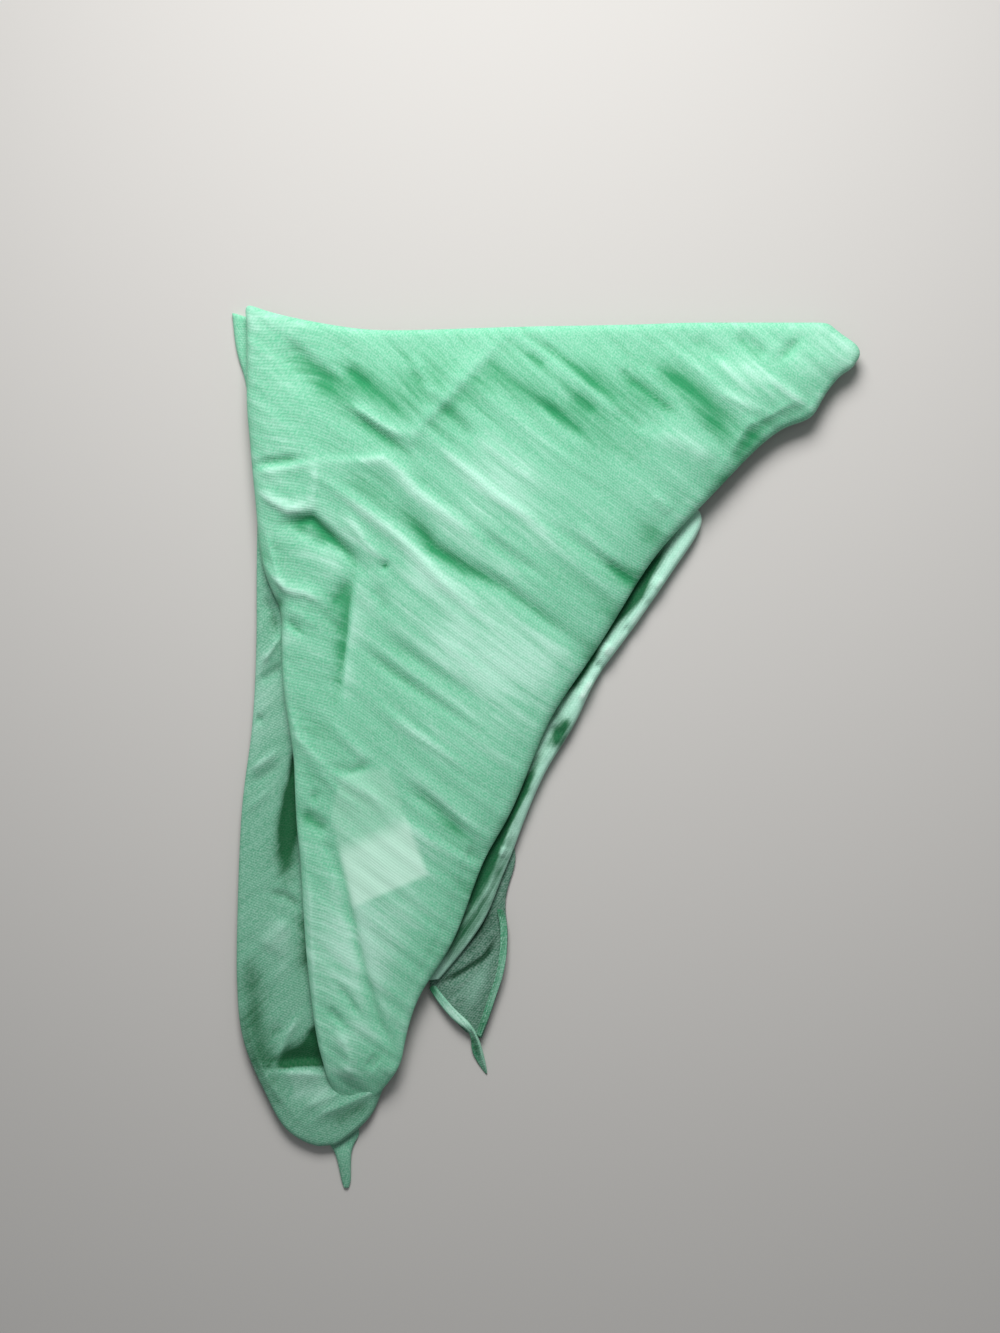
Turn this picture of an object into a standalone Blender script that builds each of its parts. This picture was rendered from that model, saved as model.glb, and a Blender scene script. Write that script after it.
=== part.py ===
"""Sarong: one thin woven cloth, folded many times into a pointed wedge and laid flat on a surface.

The cloth's plies that show are walls, each a stretch of the same cloth: the broad top ply, the side ply that
curls round the bottom, the folds that look out under them, and the hemmed corner. The plies that nothing
shows of are one rounded stack, layered at its edges.

Frame: metres, +Z up, +Y towards the long top fold, +X towards the fold's pointed wing. The origin is on the
surface, under the middle of the outline. The tables are in millimetres.
"""

import math
from bisect import bisect_right
from collections import namedtuple
from functools import lru_cache

import bmesh
import bpy
from mathutils import Vector

MM = 0.001
WALL = 1.0  # a ply, with the air that a loose fold holds
GAP = 0.3  # between pieces
# Round an edge from its lowest line to its top, in degrees from level.
FOLDED = (-35.0, -8.0, 22.0, 54.0, 90.0)
HEMMED = (12.0, 30.0, 48.0, 68.0, 90.0)
HIDDEN = (90.0,)
SHOULDER = 0.7  # how much of a ply's height a fold has reached at the top of its roll
DOME = 38.0  # a ply goes on rising for this far in from its folds
BOW_REACH = 45.0  # how far the top fold's dip is felt down the cloth
FOLD_FADE = 8.0  # creases die out over this width along a ply's folded edges
EDGE_SHARE = 0.3  # what is left of a crease where it runs over a folded edge
ROLL_SHARE = 0.36  # the most of a section's width that one roll takes
ROLL_STRETCH = 2.0  # how much wider a roll may cut through a section where its edge slants

MINT = (0.36, 0.78, 0.55)
DEEP_MINT = (0.20, 0.60, 0.38)
SHEER_MINT = (0.24, 0.52, 0.38)
LABEL_WHITE = (0.80, 0.88, 0.82)


class Table:
    """Rows of named sizes down the cloth, read between the rows on smooth curves that never overshoot."""

    def __init__(self, names, *rows):
        self.Row = namedtuple("Row", names)
        self.rows = [self.Row(*row) for row in sorted(rows)]
        self.keys = [row[0] for row in self.rows]

    @property
    def first(self):
        return self.keys[0]

    @property
    def last(self):
        return self.keys[-1]

    def slope(self, segment, column):
        """How fast a column changes between two rows."""
        low, high = self.rows[segment], self.rows[segment + 1]
        return (high[column] - low[column]) / (high[0] - low[0])

    def tangent(self, row, column):
        """The curve's slope at a row: level at a peak, and a soft mean of both sides elsewhere."""
        if row in (0, len(self.rows) - 1):
            return self.slope(min(row, len(self.rows) - 2), column)
        before, after = self.slope(row - 1, column), self.slope(row, column)
        if before * after <= 0:
            return 0.0
        return 2 * before * after / (before + after)

    @lru_cache(maxsize=None)
    def at(self, key):
        """The row of sizes at a place between the table's rows."""
        key = min(max(key, self.first), self.last)
        i = min(bisect_right(self.keys, key), len(self.keys) - 1) - 1
        low, high = self.rows[i], self.rows[i + 1]
        length = high[0] - low[0]
        t = (key - low[0]) / length
        values = []
        for column in range(len(low)):
            start, end = self.tangent(i, column) * length, self.tangent(i + 1, column) * length
            values.append(
                low[column] * (1 + 2 * t) * (1 - t) ** 2
                + start * t * (1 - t) ** 2
                + high[column] * t * t * (3 - 2 * t)
                - end * t * t * (1 - t)
            )
        return self.Row(*values)


OUTLINE = "y left right"
HEIGHTS = "y crown tilt left_rim right_rim left_roll right_roll"
Fold = namedtuple("Fold", "x0 y0 x1 y1 bow width rise")  # a crease: from, to, its belly, half width, height
Station = namedtuple("Station", "share steps")  # how far across, and how many steps down a roll

# The broad ply on top, from the long top fold down to its rounded lower end.
TOP_PLY_OUTLINE = Table(
    OUTLINE,
    (179.5, -125.0, 119.0),
    (174.0, -125.5, 125.0),
    (167.0, -125.5, 132.0),
    (161.5, -125.5, 126.5),
    (147.5, -125.5, 115.0),
    (142.0, -125.5, 109.0),
    (135.5, -124.5, 98.0),
    (127.5, -124.0, 89.0),
    (102.0, -121.5, 64.5),
    (90.0, -120.5, 52.5),
    (77.5, -119.0, 42.5),
    (67.0, -115.0, 36.0),
    (61.0, -110.5, 32.5),
    (37.0, -110.5, 17.5),
    (14.5, -108.5, 2.0),
    (-0.5, -105.5, -4.5),
    (-29.5, -104.5, -16.5),
    (-43.0, -103.0, -25.0),
    (-82.0, -100.5, -40.0),
    (-106.0, -98.0, -55.0),
    (-125.5, -95.0, -60.5),
    (-132.5, -93.0, -61.5),
    (-138.5, -91.5, -65.5),
    (-143.5, -89.5, -69.5),
    (-147.5, -87.0, -73.5),
)
TOP_PLY_HEIGHTS = Table(
    HEIGHTS,
    (180.0, 12.0, 0.0, 5.2, 4.6, 5.2, 4.0),
    (167.0, 13.2, 0.0, 5.2, 4.6, 4.8, 4.6),
    (140.0, 15.0, 0.5, 5.6, 4.6, 4.5, 6.0),
    (106.0, 15.5, 0.5, 6.0, 4.8, 4.5, 6.5),
    (98.0, 15.5, 0.5, 6.3, 5.9, 4.5, 6.5),
    (60.0, 15.0, 0.0, 6.9, 5.9, 4.0, 6.5),
    (-60.0, 13.5, 0.0, 7.0, 6.0, 3.8, 6.0),
    (-118.0, 12.0, 0.0, 7.0, 6.2, 3.0, 4.0),
    (-134.0, 10.6, 0.0, 6.4, 5.6, 2.4, 2.8),
    (-147.5, 8.6, 0.0, 5.8, 5.6, 0.9, 0.9),
)
# How far the top fold stands past a straight line: it dips between its corner and its wing.
TOP_PLY_BOW = Table(
    "x rise",
    (-125.0, 6.7),
    (-102.0, 1.1),
    (-69.5, -3.4),
    (-6.5, -1.7),
    (41.0, -0.8),
    (60.0, 0.0),
    (132.0, 0.0),
)
TOP_PLY_FOLDS = (
    Fold(-109.0, 167.5, -67.5, 149.0, 0.0, 8.0, -2.6),  # hollow under the top fold, near its corner
    Fold(-84.5, 147.5, -54.0, 128.5, 0.0, 6.0, 1.8),
    Fold(-84.0, 140.5, -59.0, 119.5, 0.0, 6.0, -1.8),
    Fold(-63.5, 130.0, -27.0, 164.5, 0.0, 6.5, 1.0),  # the edge of a fold underneath, across the rest
    Fold(-32.5, 163.5, 16.5, 133.5, 0.0, 6.5, -1.8),
    Fold(-13.0, 176.0, 44.0, 142.5, 0.0, 6.0, 1.3),
    Fold(23.0, 163.5, 48.0, 143.0, 0.0, 6.0, -1.5),
    Fold(43.0, 164.5, 79.5, 133.5, 0.0, 7.0, -3.2),  # parts the wing from the rest
    Fold(60.5, 153.0, 106.0, 147.0, 2.0, 7.0, 1.8),  # the wing's shoulder
    Fold(-63.0, 108.0, 18.5, 41.0, 1.0, 6.5, -3.4),  # the longest crease
    Fold(-99.0, 117.5, -42.0, 70.0, 0.0, 6.5, 2.2),
    Fold(-59.0, 127.5, 39.5, 60.0, 0.0, 6.5, 1.2),
    Fold(-10.5, 98.0, 36.0, 64.0, 0.0, 6.0, -1.2),
    Fold(-110.5, 94.0, -76.5, 76.5, 0.0, 6.0, -3.2),  # hollow beside the left fold
    Fold(-118.5, 107.0, -98.0, 99.0, 0.0, 6.0, 1.6),
    Fold(-115.0, 80.0, -91.0, 60.5, -2.0, 6.0, 1.4),
    Fold(-94.0, 59.5, -81.5, 44.0, 0.0, 6.0, -1.8),
    Fold(-81.5, 42.5, -31.0, 5.0, 0.0, 6.0, -1.4),
    Fold(-62.0, 45.5, -25.5, 20.5, 0.0, 6.0, -1.0),
    Fold(-64.5, 16.0, -19.0, -19.0, 0.0, 6.0, 1.3),
    Fold(-61.0, -10.5, -24.5, -41.5, 0.0, 6.0, -1.5),
    Fold(-100.0, -21.0, -84.5, -42.0, 0.0, 6.0, -2.0),  # dimple beside the label
    Fold(-84.5, -73.5, -66.5, -120.0, 0.0, 5.0, -1.4),
    Fold(-90.0, -105.0, -82.5, -136.0, 0.0, 5.0, 1.2),
)

# The ply beside and under it, down the left and curled round the bottom like a sling.
SIDE_PLY_OUTLINE = Table(
    OUTLINE,
    (104.5, -121.0, -114.0),
    (69.0, -121.5, -107.5),
    (52.5, -121.5, -103.0),
    (30.5, -122.0, -103.0),
    (3.0, -124.0, -100.0),
    (-10.0, -126.0, -98.5),
    (-28.0, -128.0, -98.0),
    (-65.5, -129.5, -95.0),
    (-92.0, -130.0, -92.5),
    (-106.0, -129.5, -90.5),
    (-114.0, -129.0, -86.0),
    (-121.0, -127.8, -76.0),
    (-127.0, -126.0, -68.0),
    (-133.0, -123.8, -65.0),
    (-140.5, -120.0, -68.5),
    (-149.0, -115.0, -71.5),
    (-154.0, -111.0, -73.5),
    (-158.5, -106.5, -77.5),
    (-164.5, -99.0, -85.0),
    (-166.5, -95.0, -88.5),
)
SIDE_PLY_HEIGHTS = Table(
    HEIGHTS,
    (105.0, 5.6, 0.0, 2.6, 3.6, 1.4, 1.2),
    (60.0, 6.2, 0.0, 2.6, 4.0, 2.0, 1.4),
    (-60.0, 6.4, 0.0, 2.6, 4.0, 2.2, 1.4),
    (-116.0, 6.2, -0.6, 2.6, 3.2, 2.2, 1.4),
    (-126.0, 6.0, -2.4, 2.6, 2.4, 2.2, 1.4),
    (-144.0, 6.2, -2.4, 2.6, 2.0, 2.4, 1.8),
    (-156.0, 6.2, -0.4, 2.6, 2.4, 2.2, 2.2),
    (-167.0, 5.6, 0.0, 2.4, 2.4, 1.6, 1.6),
)
SIDE_PLY_FOLDS = (
    Fold(-107.0, -8.0, -114.5, -46.0, 0.0, 4.5, -3.6),  # the slit beside the top ply
    Fold(-109.0, -127.5, -95.0, -127.5, 0.0, 4.5, -3.2),  # the pocket over the sling
    Fold(-116.0, 62.5, -112.5, 44.0, 0.0, 4.5, -1.6),
    Fold(-119.5, 34.0, -110.5, 46.0, 0.0, 4.0, 1.2),
    Fold(-120.0, 25.0, -110.5, 35.0, 0.0, 4.0, -1.2),
    Fold(-120.0, -90.5, -108.5, -118.0, 0.0, 6.5, -1.6),  # the hollow above the sling
    Fold(-113.5, -65.0, -115.0, -82.0, 0.0, 6.0, 1.0),
    Fold(-120.5, -131.0, -101.0, -155.0, 0.0, 5.5, 1.3),  # the sling's rolled rim
)

# The fold that looks out under the top ply's slanting edge, puffed along its outer edge.
SECOND_FOLD_OUTLINE = Table(
    OUTLINE,
    (101.5, 55.0, 63.5),
    (98.0, 54.0, 66.0),
    (93.0, 51.5, 64.5),
    (77.5, 41.5, 54.5),
    (50.0, 23.5, 35.5),
    (29.5, 11.5, 20.5),
    (19.0, 4.5, 15.5),
    (11.0, 0.0, 12.0),
    (-8.0, -9.0, 0.0),
    (-29.5, -18.5, -9.5),
    (-39.0, -23.5, -13.0),
    (-55.0, -31.0, -19.5),
    (-71.0, -37.5, -26.0),
    (-89.0, -46.0, -39.0),
    (-95.0, -50.0, -45.0),
)
SECOND_FOLD_HEIGHTS = Table(
    HEIGHTS,
    (101.5, 5.2, 2.0, 1.4, 0.5, 1.0, 1.8),
    (96.0, 6.2, 3.8, 2.4, 0.5, 1.0, 2.4),
    (80.0, 6.8, 5.0, 3.0, 0.5, 1.0, 2.8),
    (20.0, 6.8, 5.0, 3.0, 0.5, 1.0, 2.8),
    (-30.0, 6.6, 4.4, 3.2, 0.7, 1.0, 2.6),
    (-42.0, 5.3, 0.2, 3.4, 2.3, 1.0, 1.4),
    (-95.0, 5.3, 0.2, 3.4, 2.3, 1.0, 1.4),
)

# The hemmed corner of the cloth, a single ply that lies out from under the fold.
CORNER_OUTLINE = Table(
    OUTLINE,
    (-41.5, -22.5, -13.5),
    (-46.5, -25.0, -12.5),
    (-52.5, -28.5, -14.0),
    (-65.0, -35.0, -18.0),
    (-75.5, -40.0, -16.0),
    (-87.0, -46.0, -16.5),
    (-97.5, -50.5, -18.5),
    (-101.5, -49.0, -20.0),
    (-109.5, -42.0, -22.5),
    (-115.0, -37.0, -24.5),
    (-119.0, -33.5, -25.5),
)
CORNER_HEIGHTS = Table(
    HEIGHTS,
    (-41.5, 1.8, 0.2, 1.4, 1.1, 1.0, 1.4),
    (-80.0, 2.0, 0.6, 1.4, 1.1, 1.0, 1.6),
    (-98.0, 2.8, 0.6, 1.5, 1.1, 1.4, 1.8),
    (-119.0, 2.8, 0.0, 1.3, 1.1, 1.6, 1.6),
)
CORNER_FOLDS = (
    Fold(-26.0, -86.0, -44.0, -99.5, 0.0, 4.0, -0.7),
    Fold(-20.0, -92.0, -34.0, -108.0, 0.0, 4.5, 0.9),
)
CORNER_POINT_OUTLINE = Table(
    OUTLINE,
    (-119.6, -32.8, -26.6),
    (-126.0, -31.6, -26.2),
    (-132.0, -29.4, -25.2),
    (-137.5, -27.2, -24.2),
)
CORNER_POINT_HEIGHTS = Table(
    HEIGHTS,
    (-119.6, 3.0, 0.0, 0.0, 0.0, 1.6, 1.6),
    (-128.0, 2.6, 0.6, 0.0, 0.0, 1.6, 1.6),
    (-137.5, 1.4, 0.0, 0.0, 0.0, 1.0, 1.0),
)

# Two more corners of the cloth: one pinched out under the sling, one behind the top fold's corner.
BOTTOM_POINT_OUTLINE = Table(
    OUTLINE,
    (-161.0, -94.5, -80.5),
    (-166.5, -91.5, -81.5),
    (-174.0, -88.5, -82.5),
    (-183.5, -86.5, -82.5),
    (-186.5, -85.5, -83.5),
)
BOTTOM_POINT_HEIGHTS = Table(
    HEIGHTS,
    (-161.0, 2.3, 0.0, 0.0, 0.0, 2.5, 2.5),
    (-166.5, 2.5, 0.0, 0.0, 0.0, 2.5, 2.5),
    (-173.0, 3.6, 0.4, 0.0, 0.0, 2.0, 2.0),
    (-186.5, 1.8, 0.0, 0.0, 0.0, 1.2, 1.2),
)
REAR_CORNER_OUTLINE = Table(
    OUTLINE,
    (182.5, -132.0, -119.0),
    (170.5, -130.5, -119.0),
    (162.0, -128.0, -119.0),
    (153.0, -126.5, -119.0),
    (122.0, -124.0, -118.0),
    (105.2, -122.0, -117.5),
)
REAR_CORNER_HEIGHTS = Table(
    HEIGHTS,
    (182.5, 4.2, 0.0, 0.0, 0.0, 2.4, 1.0),
    (105.2, 4.6, 0.0, 0.0, 0.0, 2.4, 1.0),
)

# The stack of hidden plies. leaf is how far its lower plies stand out, and open how high they show.
STACK = Table(
    "y left right left_leaf right_leaf left_open right_open",
    (175.0, -116.5, 114.0, 0.0, 2.2, 4.0, 4.0),
    (167.0, -116.5, 122.0, 0.0, 2.4, 4.0, 4.0),
    (161.5, -116.5, 118.5, 0.0, 2.4, 4.0, 4.0),
    (142.0, -116.5, 102.0, 0.0, 2.4, 4.0, 4.0),
    (127.5, -116.5, 82.5, 0.0, 2.4, 4.0, 4.0),
    (112.0, -116.5, 66.5, 0.0, 1.8, 3.2, 4.0),
    (104.0, -116.5, 54.0, 0.0, 0.0, 2.6, 4.0),
    (96.0, -116.5, 47.5, 1.8, 0.0, 2.0, 4.0),
    (77.5, -117.0, 36.5, 2.2, 0.0, 2.0, 4.0),
    (50.0, -117.0, 19.5, 2.2, 0.0, 2.0, 4.0),
    (11.0, -118.5, -5.0, 2.2, 0.0, 2.0, 4.0),
    (-28.0, -123.0, -23.0, 2.2, 0.0, 2.0, 4.0),
    (-55.0, -124.5, -36.5, 2.2, 0.0, 2.0, 4.0),
    (-89.0, -125.5, -51.5, 2.2, 0.0, 2.0, 4.0),
    (-100.0, -125.5, -57.0, 2.2, 0.4, 2.0, 3.2),
    (-108.0, -125.0, -63.0, 2.2, 1.0, 2.0, 2.0),
    (-116.0, -124.5, -70.0, 2.2, 1.0, 2.0, 0.5),
    (-131.0, -119.5, -74.0, 2.2, 1.0, 2.0, 0.5),
    (-149.0, -109.5, -80.0, 2.2, 2.2, 2.0, 1.6),
    (-157.0, -102.5, -84.0, 1.6, 1.6, 2.0, 2.0),
)
STACK_COLUMNS = 17
STACK_ROWS = 44
STACK_REACH = 10.5  # a hollow in the plies above presses the stack down this far around it
STACK_GAP = 0.6  # between the stack and the plies laid over it
STACK_FLOOR = 0.8  # what is left of the stack under the deepest hollow
# Down the stack's side: height as a share of what is open, and how far out as a share of the leaf.
LEAF_PROFILE = ((1.0, 0.0, 0.0), (0.97, 1.0, -0.5), (0.83, 1.0, 0.0), (0.67, 1.0, -0.9), (0.5, 1.0, 0.0))
LEAF_PROFILE += ((0.33, 1.0, -0.9), (0.17, 1.0, 0.0), (0.0, 1.0, -0.4))

LABEL_CENTRE = (-70.5, -33.5)
LABEL_SIZE = (28.0, 54.0)
LABEL_TILT = math.radians(14.0)
LABEL_THICKNESS = 0.5
LABEL_ROOM = LABEL_THICKNESS + 2 * GAP
LABEL_CELLS = (6, 10)

HEM_THICKNESS = 0.8
HEM_CELLS = (4, 14)
Hem = namedtuple("Hem", "width start first last")  # start: how much of its width it lies in from the edge
SIDE_HEM = Hem(4.6, 0.35, -68.0, -118.6)
END_HEM = Hem(3.6, 0.45, -99.0, -118.6)


def smooth(t):
    """A step from 0 to 1 with level ends."""
    t = min(max(t, 0.0), 1.0)
    return t * t * (3 - 2 * t)


def closer_at_ends(t):
    """Shares of a way, set closer together at its ends than in its middle."""
    return (t + smooth(t)) / 2


def relief(folds, x, y):
    """How far the creases raise the cloth at a place: each is a soft bar along its line, tapered at both ends."""
    total = 0.0
    for fold in folds:
        along, across = fold.x1 - fold.x0, fold.y1 - fold.y0
        length = math.hypot(along, across)
        t = ((x - fold.x0) * along + (y - fold.y0) * across) / length**2
        off = ((y - fold.y0) * along - (x - fold.x0) * across) / length
        inside = min(max(t, 0.0), 1.0)
        off -= 4 * fold.bow * inside * (1 - inside)
        beyond = (t - inside) * length
        taper = math.exp(-((beyond / fold.width) ** 2))
        total += fold.rise * taper * math.exp(-((off / fold.width) ** 2))
    return total


def stations(count, start_edge, end_edge):
    """Places from one edge to the other: up the first roll, across the ply, down the second."""
    start = [Station(0.0, steps) for steps in range(len(start_edge) - 1, -1, -1)]
    middle = [Station(closer_at_ends(i / (count - 1)), 0) for i in range(1, count - 1)]
    end = [Station(1.0, steps) for steps in range(len(end_edge))]
    return start + middle + end


def inset(edge, steps, across=0):
    """How far in from an edge a station lies, in widths of its roll.

    Where the roll of the next edge reaches further out, the station is spread along that roll instead.
    """
    if edge is HIDDEN:
        return 0.0
    out = 1 - math.cos(math.radians(edge[-1 - max(steps, across)]))
    if steps >= across:
        return out
    return out + (1 - out) * (across - steps) / across


def lift(edge, steps):
    """How far up its roll a station is: 0 at its lowest line, 1 at its top."""
    if edge is HIDDEN:
        return 1.0
    lowest = math.sin(math.radians(edge[0]))
    return (math.sin(math.radians(edge[-1 - steps])) - lowest) / (1 - lowest)


def lift_within(edge, depth):
    """How far up its roll an edge is, this many roll widths in. None beside it."""
    if depth <= 0:
        return None
    if edge is HIDDEN or depth >= 1:
        return 1.0
    lowest = math.sin(math.radians(edge[0]))
    return max(0.0, (math.sqrt(1 - (1 - depth) ** 2) - lowest) / (1 - lowest))


class Ply:
    """A stretch of cloth over its sections, rolled under along its folded edges.

    kinds says how its left, right, top and bottom edges are turned, and end_rolls how wide the rolls are at its
    top and bottom. bow bends its top fold.
    """

    def __init__(self, outline, heights, kinds, folds=(), end_rolls=(4.0, 4.0), bow=None):
        self.outline, self.heights, self.folds, self.bow = outline, heights, folds, bow
        self.left, self.right, self.top, self.bottom = kinds
        self.top_roll, self.bottom_roll = end_rolls

    def bend(self, x, line):
        """How far the top fold's bow moves a place on a section towards +Y."""
        if self.bow is None:
            return 0.0
        return self.bow.at(x).rise * max(0.0, 1 - (self.outline.last - line) / BOW_REACH) ** 2

    def edges(self, line):
        """Both edges of a section, and the width of their rolls measured along it."""
        edge, size = self.outline.at(line), self.heights.at(line)
        step = 1.0
        above, below = self.outline.at(line + step), self.outline.at(line - step)
        most = ROLL_SHARE * (edge.right - edge.left)
        left_slope = (above.left - below.left) / (2 * step)
        right_slope = (above.right - below.right) / (2 * step)
        left_roll = min(size.left_roll * min(math.hypot(1, left_slope), ROLL_STRETCH), most)
        right_roll = min(size.right_roll * min(math.hypot(1, right_slope), ROLL_STRETCH), most)
        return edge.left, edge.right, left_roll, right_roll

    def height(self, x, line, rise):
        """The ply's outer surface over a place. rise is below 1 on a roll, and 1 on the ply's upper side."""
        left, right, left_roll, right_roll = self.edges(line)
        size = self.heights.at(line)
        share = (x - left) / (right - left)
        rim = size.left_rim + (size.right_rim - size.left_rim) * share
        crown = size.crown + size.tilt * (share - 0.5)
        shoulder = rim + SHOULDER * (crown - rim)
        if rise < 1:
            return rim + rise * (shoulder - rim + EDGE_SHARE * relief(self.folds, x, line))
        depth = min(
            x - left - left_roll,
            right - right_roll - x,
            self.outline.last - self.top_roll - line,
            line - self.outline.first - self.bottom_roll,
        )
        depth = max(depth, 0.0)
        weight = EDGE_SHARE + (1 - EDGE_SHARE) * min(1.0, depth / FOLD_FADE)
        z = shoulder + (crown - shoulder) * (1 - (1 - min(1.0, depth / DOME)) ** 2)
        return z + weight * relief(self.folds, x, line)

    def point(self, column, row):
        """The outer surface at a station across and a station down."""
        top_steps, bottom_steps = (row.steps, 0) if row.share < 0.5 else (0, row.steps)
        left_steps, right_steps = (column.steps, 0) if column.share < 0.5 else (0, column.steps)
        high = self.outline.last - self.top_roll * inset(self.top, top_steps, column.steps)
        low = self.outline.first + self.bottom_roll * inset(self.bottom, bottom_steps, column.steps)
        line = high + (low - high) * row.share
        left, right, left_roll, right_roll = self.edges(line)
        start = left + left_roll * inset(self.left, left_steps, row.steps)
        end = right - right_roll * inset(self.right, right_steps, row.steps)
        x = start + (end - start) * column.share
        across = self.left if column.share < 0.5 else self.right
        down = self.top if row.share < 0.5 else self.bottom
        lifts = []
        if column.steps >= row.steps:
            lifts.append(lift(across, column.steps))
        if row.steps >= column.steps:
            lifts.append(lift(down, row.steps))
        z = self.height(x, line, min(lifts))
        return Vector((x, line + self.bend(x, line), z)) * MM

    def rim(self, x, y):
        """The lowest line of the ply's nearer edge."""
        left, right, _, _ = self.edges(y)
        size = self.heights.at(y)
        return size.left_rim if x - left < right - x else size.right_rim

    def over(self, x, y):
        """The outer surface above any place, or None beside the ply."""
        line = y - self.bend(x, y)
        left, right, left_roll, right_roll = self.edges(line)
        lifts = (
            lift_within(self.left, (x - left) / left_roll),
            lift_within(self.right, (right - x) / right_roll),
            lift_within(self.top, (self.outline.last - line) / self.top_roll),
            lift_within(self.bottom, (line - self.outline.first) / self.bottom_roll),
        )
        if None in lifts:
            return None
        return self.height(x, line, min(lifts))


def grid(columns, rows, point):
    """A bmesh grid whose vertex in each column and row, counted from the upper left, sits where point says."""
    bm = bmesh.new()
    bmesh.ops.create_grid(bm, x_segments=columns - 1, y_segments=rows - 1, size=1.0)
    for vertex in bm.verts:
        column = round((vertex.co.x + 1) / 2 * (columns - 1))
        row = round((1 - vertex.co.y) / 2 * (rows - 1))
        vertex.co = point(column, row)
    return bm


def rim_of(bm):
    return [edge for edge in bm.edges if edge.is_boundary]


def close_underneath(bm, ring):
    """Fills the flat base, and turns every face outwards."""
    bmesh.ops.holes_fill(bm, edges=ring, sides=0)
    bmesh.ops.recalc_face_normals(bm, faces=bm.faces)
    highest = max(bm.faces, key=lambda face: face.calc_center_median().z)
    if highest.normal.z < 0:
        bmesh.ops.reverse_faces(bm, faces=bm.faces)


def finish(bm, name, colour, wall=None):
    """The bmesh as a named object with its own cloth material, and its wall thickened inwards."""
    mesh = bpy.data.meshes.new(name)
    bm.to_mesh(mesh)
    bm.free()
    mesh.shade_smooth()
    mesh.set_sharp_from_angle(angle=math.radians(50))
    obj = bpy.data.objects.new(name, mesh)
    bpy.context.scene.collection.objects.link(obj)
    material = bpy.data.materials.new(name)
    material.use_nodes = True
    shader = material.node_tree.nodes["Principled BSDF"]
    shader.inputs["Base Color"].default_value = (*colour, 1.0)
    shader.inputs["Roughness"].default_value = 0.85
    shader.inputs["Metallic"].default_value = 0.0
    mesh.materials.append(material)
    if wall:
        thicken = obj.modifiers.new("wall", "SOLIDIFY")
        thicken.thickness = wall * MM
        thicken.offset = -1
    return obj


def grid_of(ply, columns, rows):
    """A ply's outer surface as a grid, with that many stations across and down between its rolls."""
    across = stations(columns, ply.left, ply.right)
    down = stations(rows, ply.top, ply.bottom)
    return grid(len(across), len(down), lambda column, row: ply.point(across[column], down[row]))


def make_ply(ply, name, colour, columns, rows, wall=WALL):
    return finish(grid_of(ply, columns, rows), name, colour, wall)


def make_pressed(ply, name, colour, columns, rows):
    """A stretch whose plies are pressed together: it is solid, and flat where it rests."""
    bm = grid_of(ply, columns, rows)
    close_underneath(bm, rim_of(bm))
    bmesh.ops.poke(bm, faces=[face for face in bm.faces if len(face.verts) > 4])
    return finish(bm, name, colour)


def under(plies, x, y, reach):
    """The lowest underside of the plies above a place and its surroundings, their rims included."""
    ring = [(math.cos(i * math.pi / 4), math.sin(i * math.pi / 4)) for i in range(8)]
    places = [(x, y)] + [(x + reach * share * i, y + reach * share * j) for i, j in ring for share in (0.5, 1.0)]
    heights = []
    for ply in plies:
        found = [ply.over(*place) for place in places]
        heights += [z for z in found if z is not None]
        if 0 < found.count(None) < len(found):
            heights.append(ply.rim(x, y))
    return min(heights) - WALL - STACK_GAP


def on_label(x, y, margin=0.0):
    """Whether a place lies under the label."""
    x, y = x - LABEL_CENTRE[0], y - LABEL_CENTRE[1]
    across = x * math.cos(LABEL_TILT) + y * math.sin(LABEL_TILT)
    down = y * math.cos(LABEL_TILT) - x * math.sin(LABEL_TILT)
    return abs(across) < LABEL_SIZE[0] / 2 + margin and abs(down) < LABEL_SIZE[1] / 2 + margin


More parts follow.
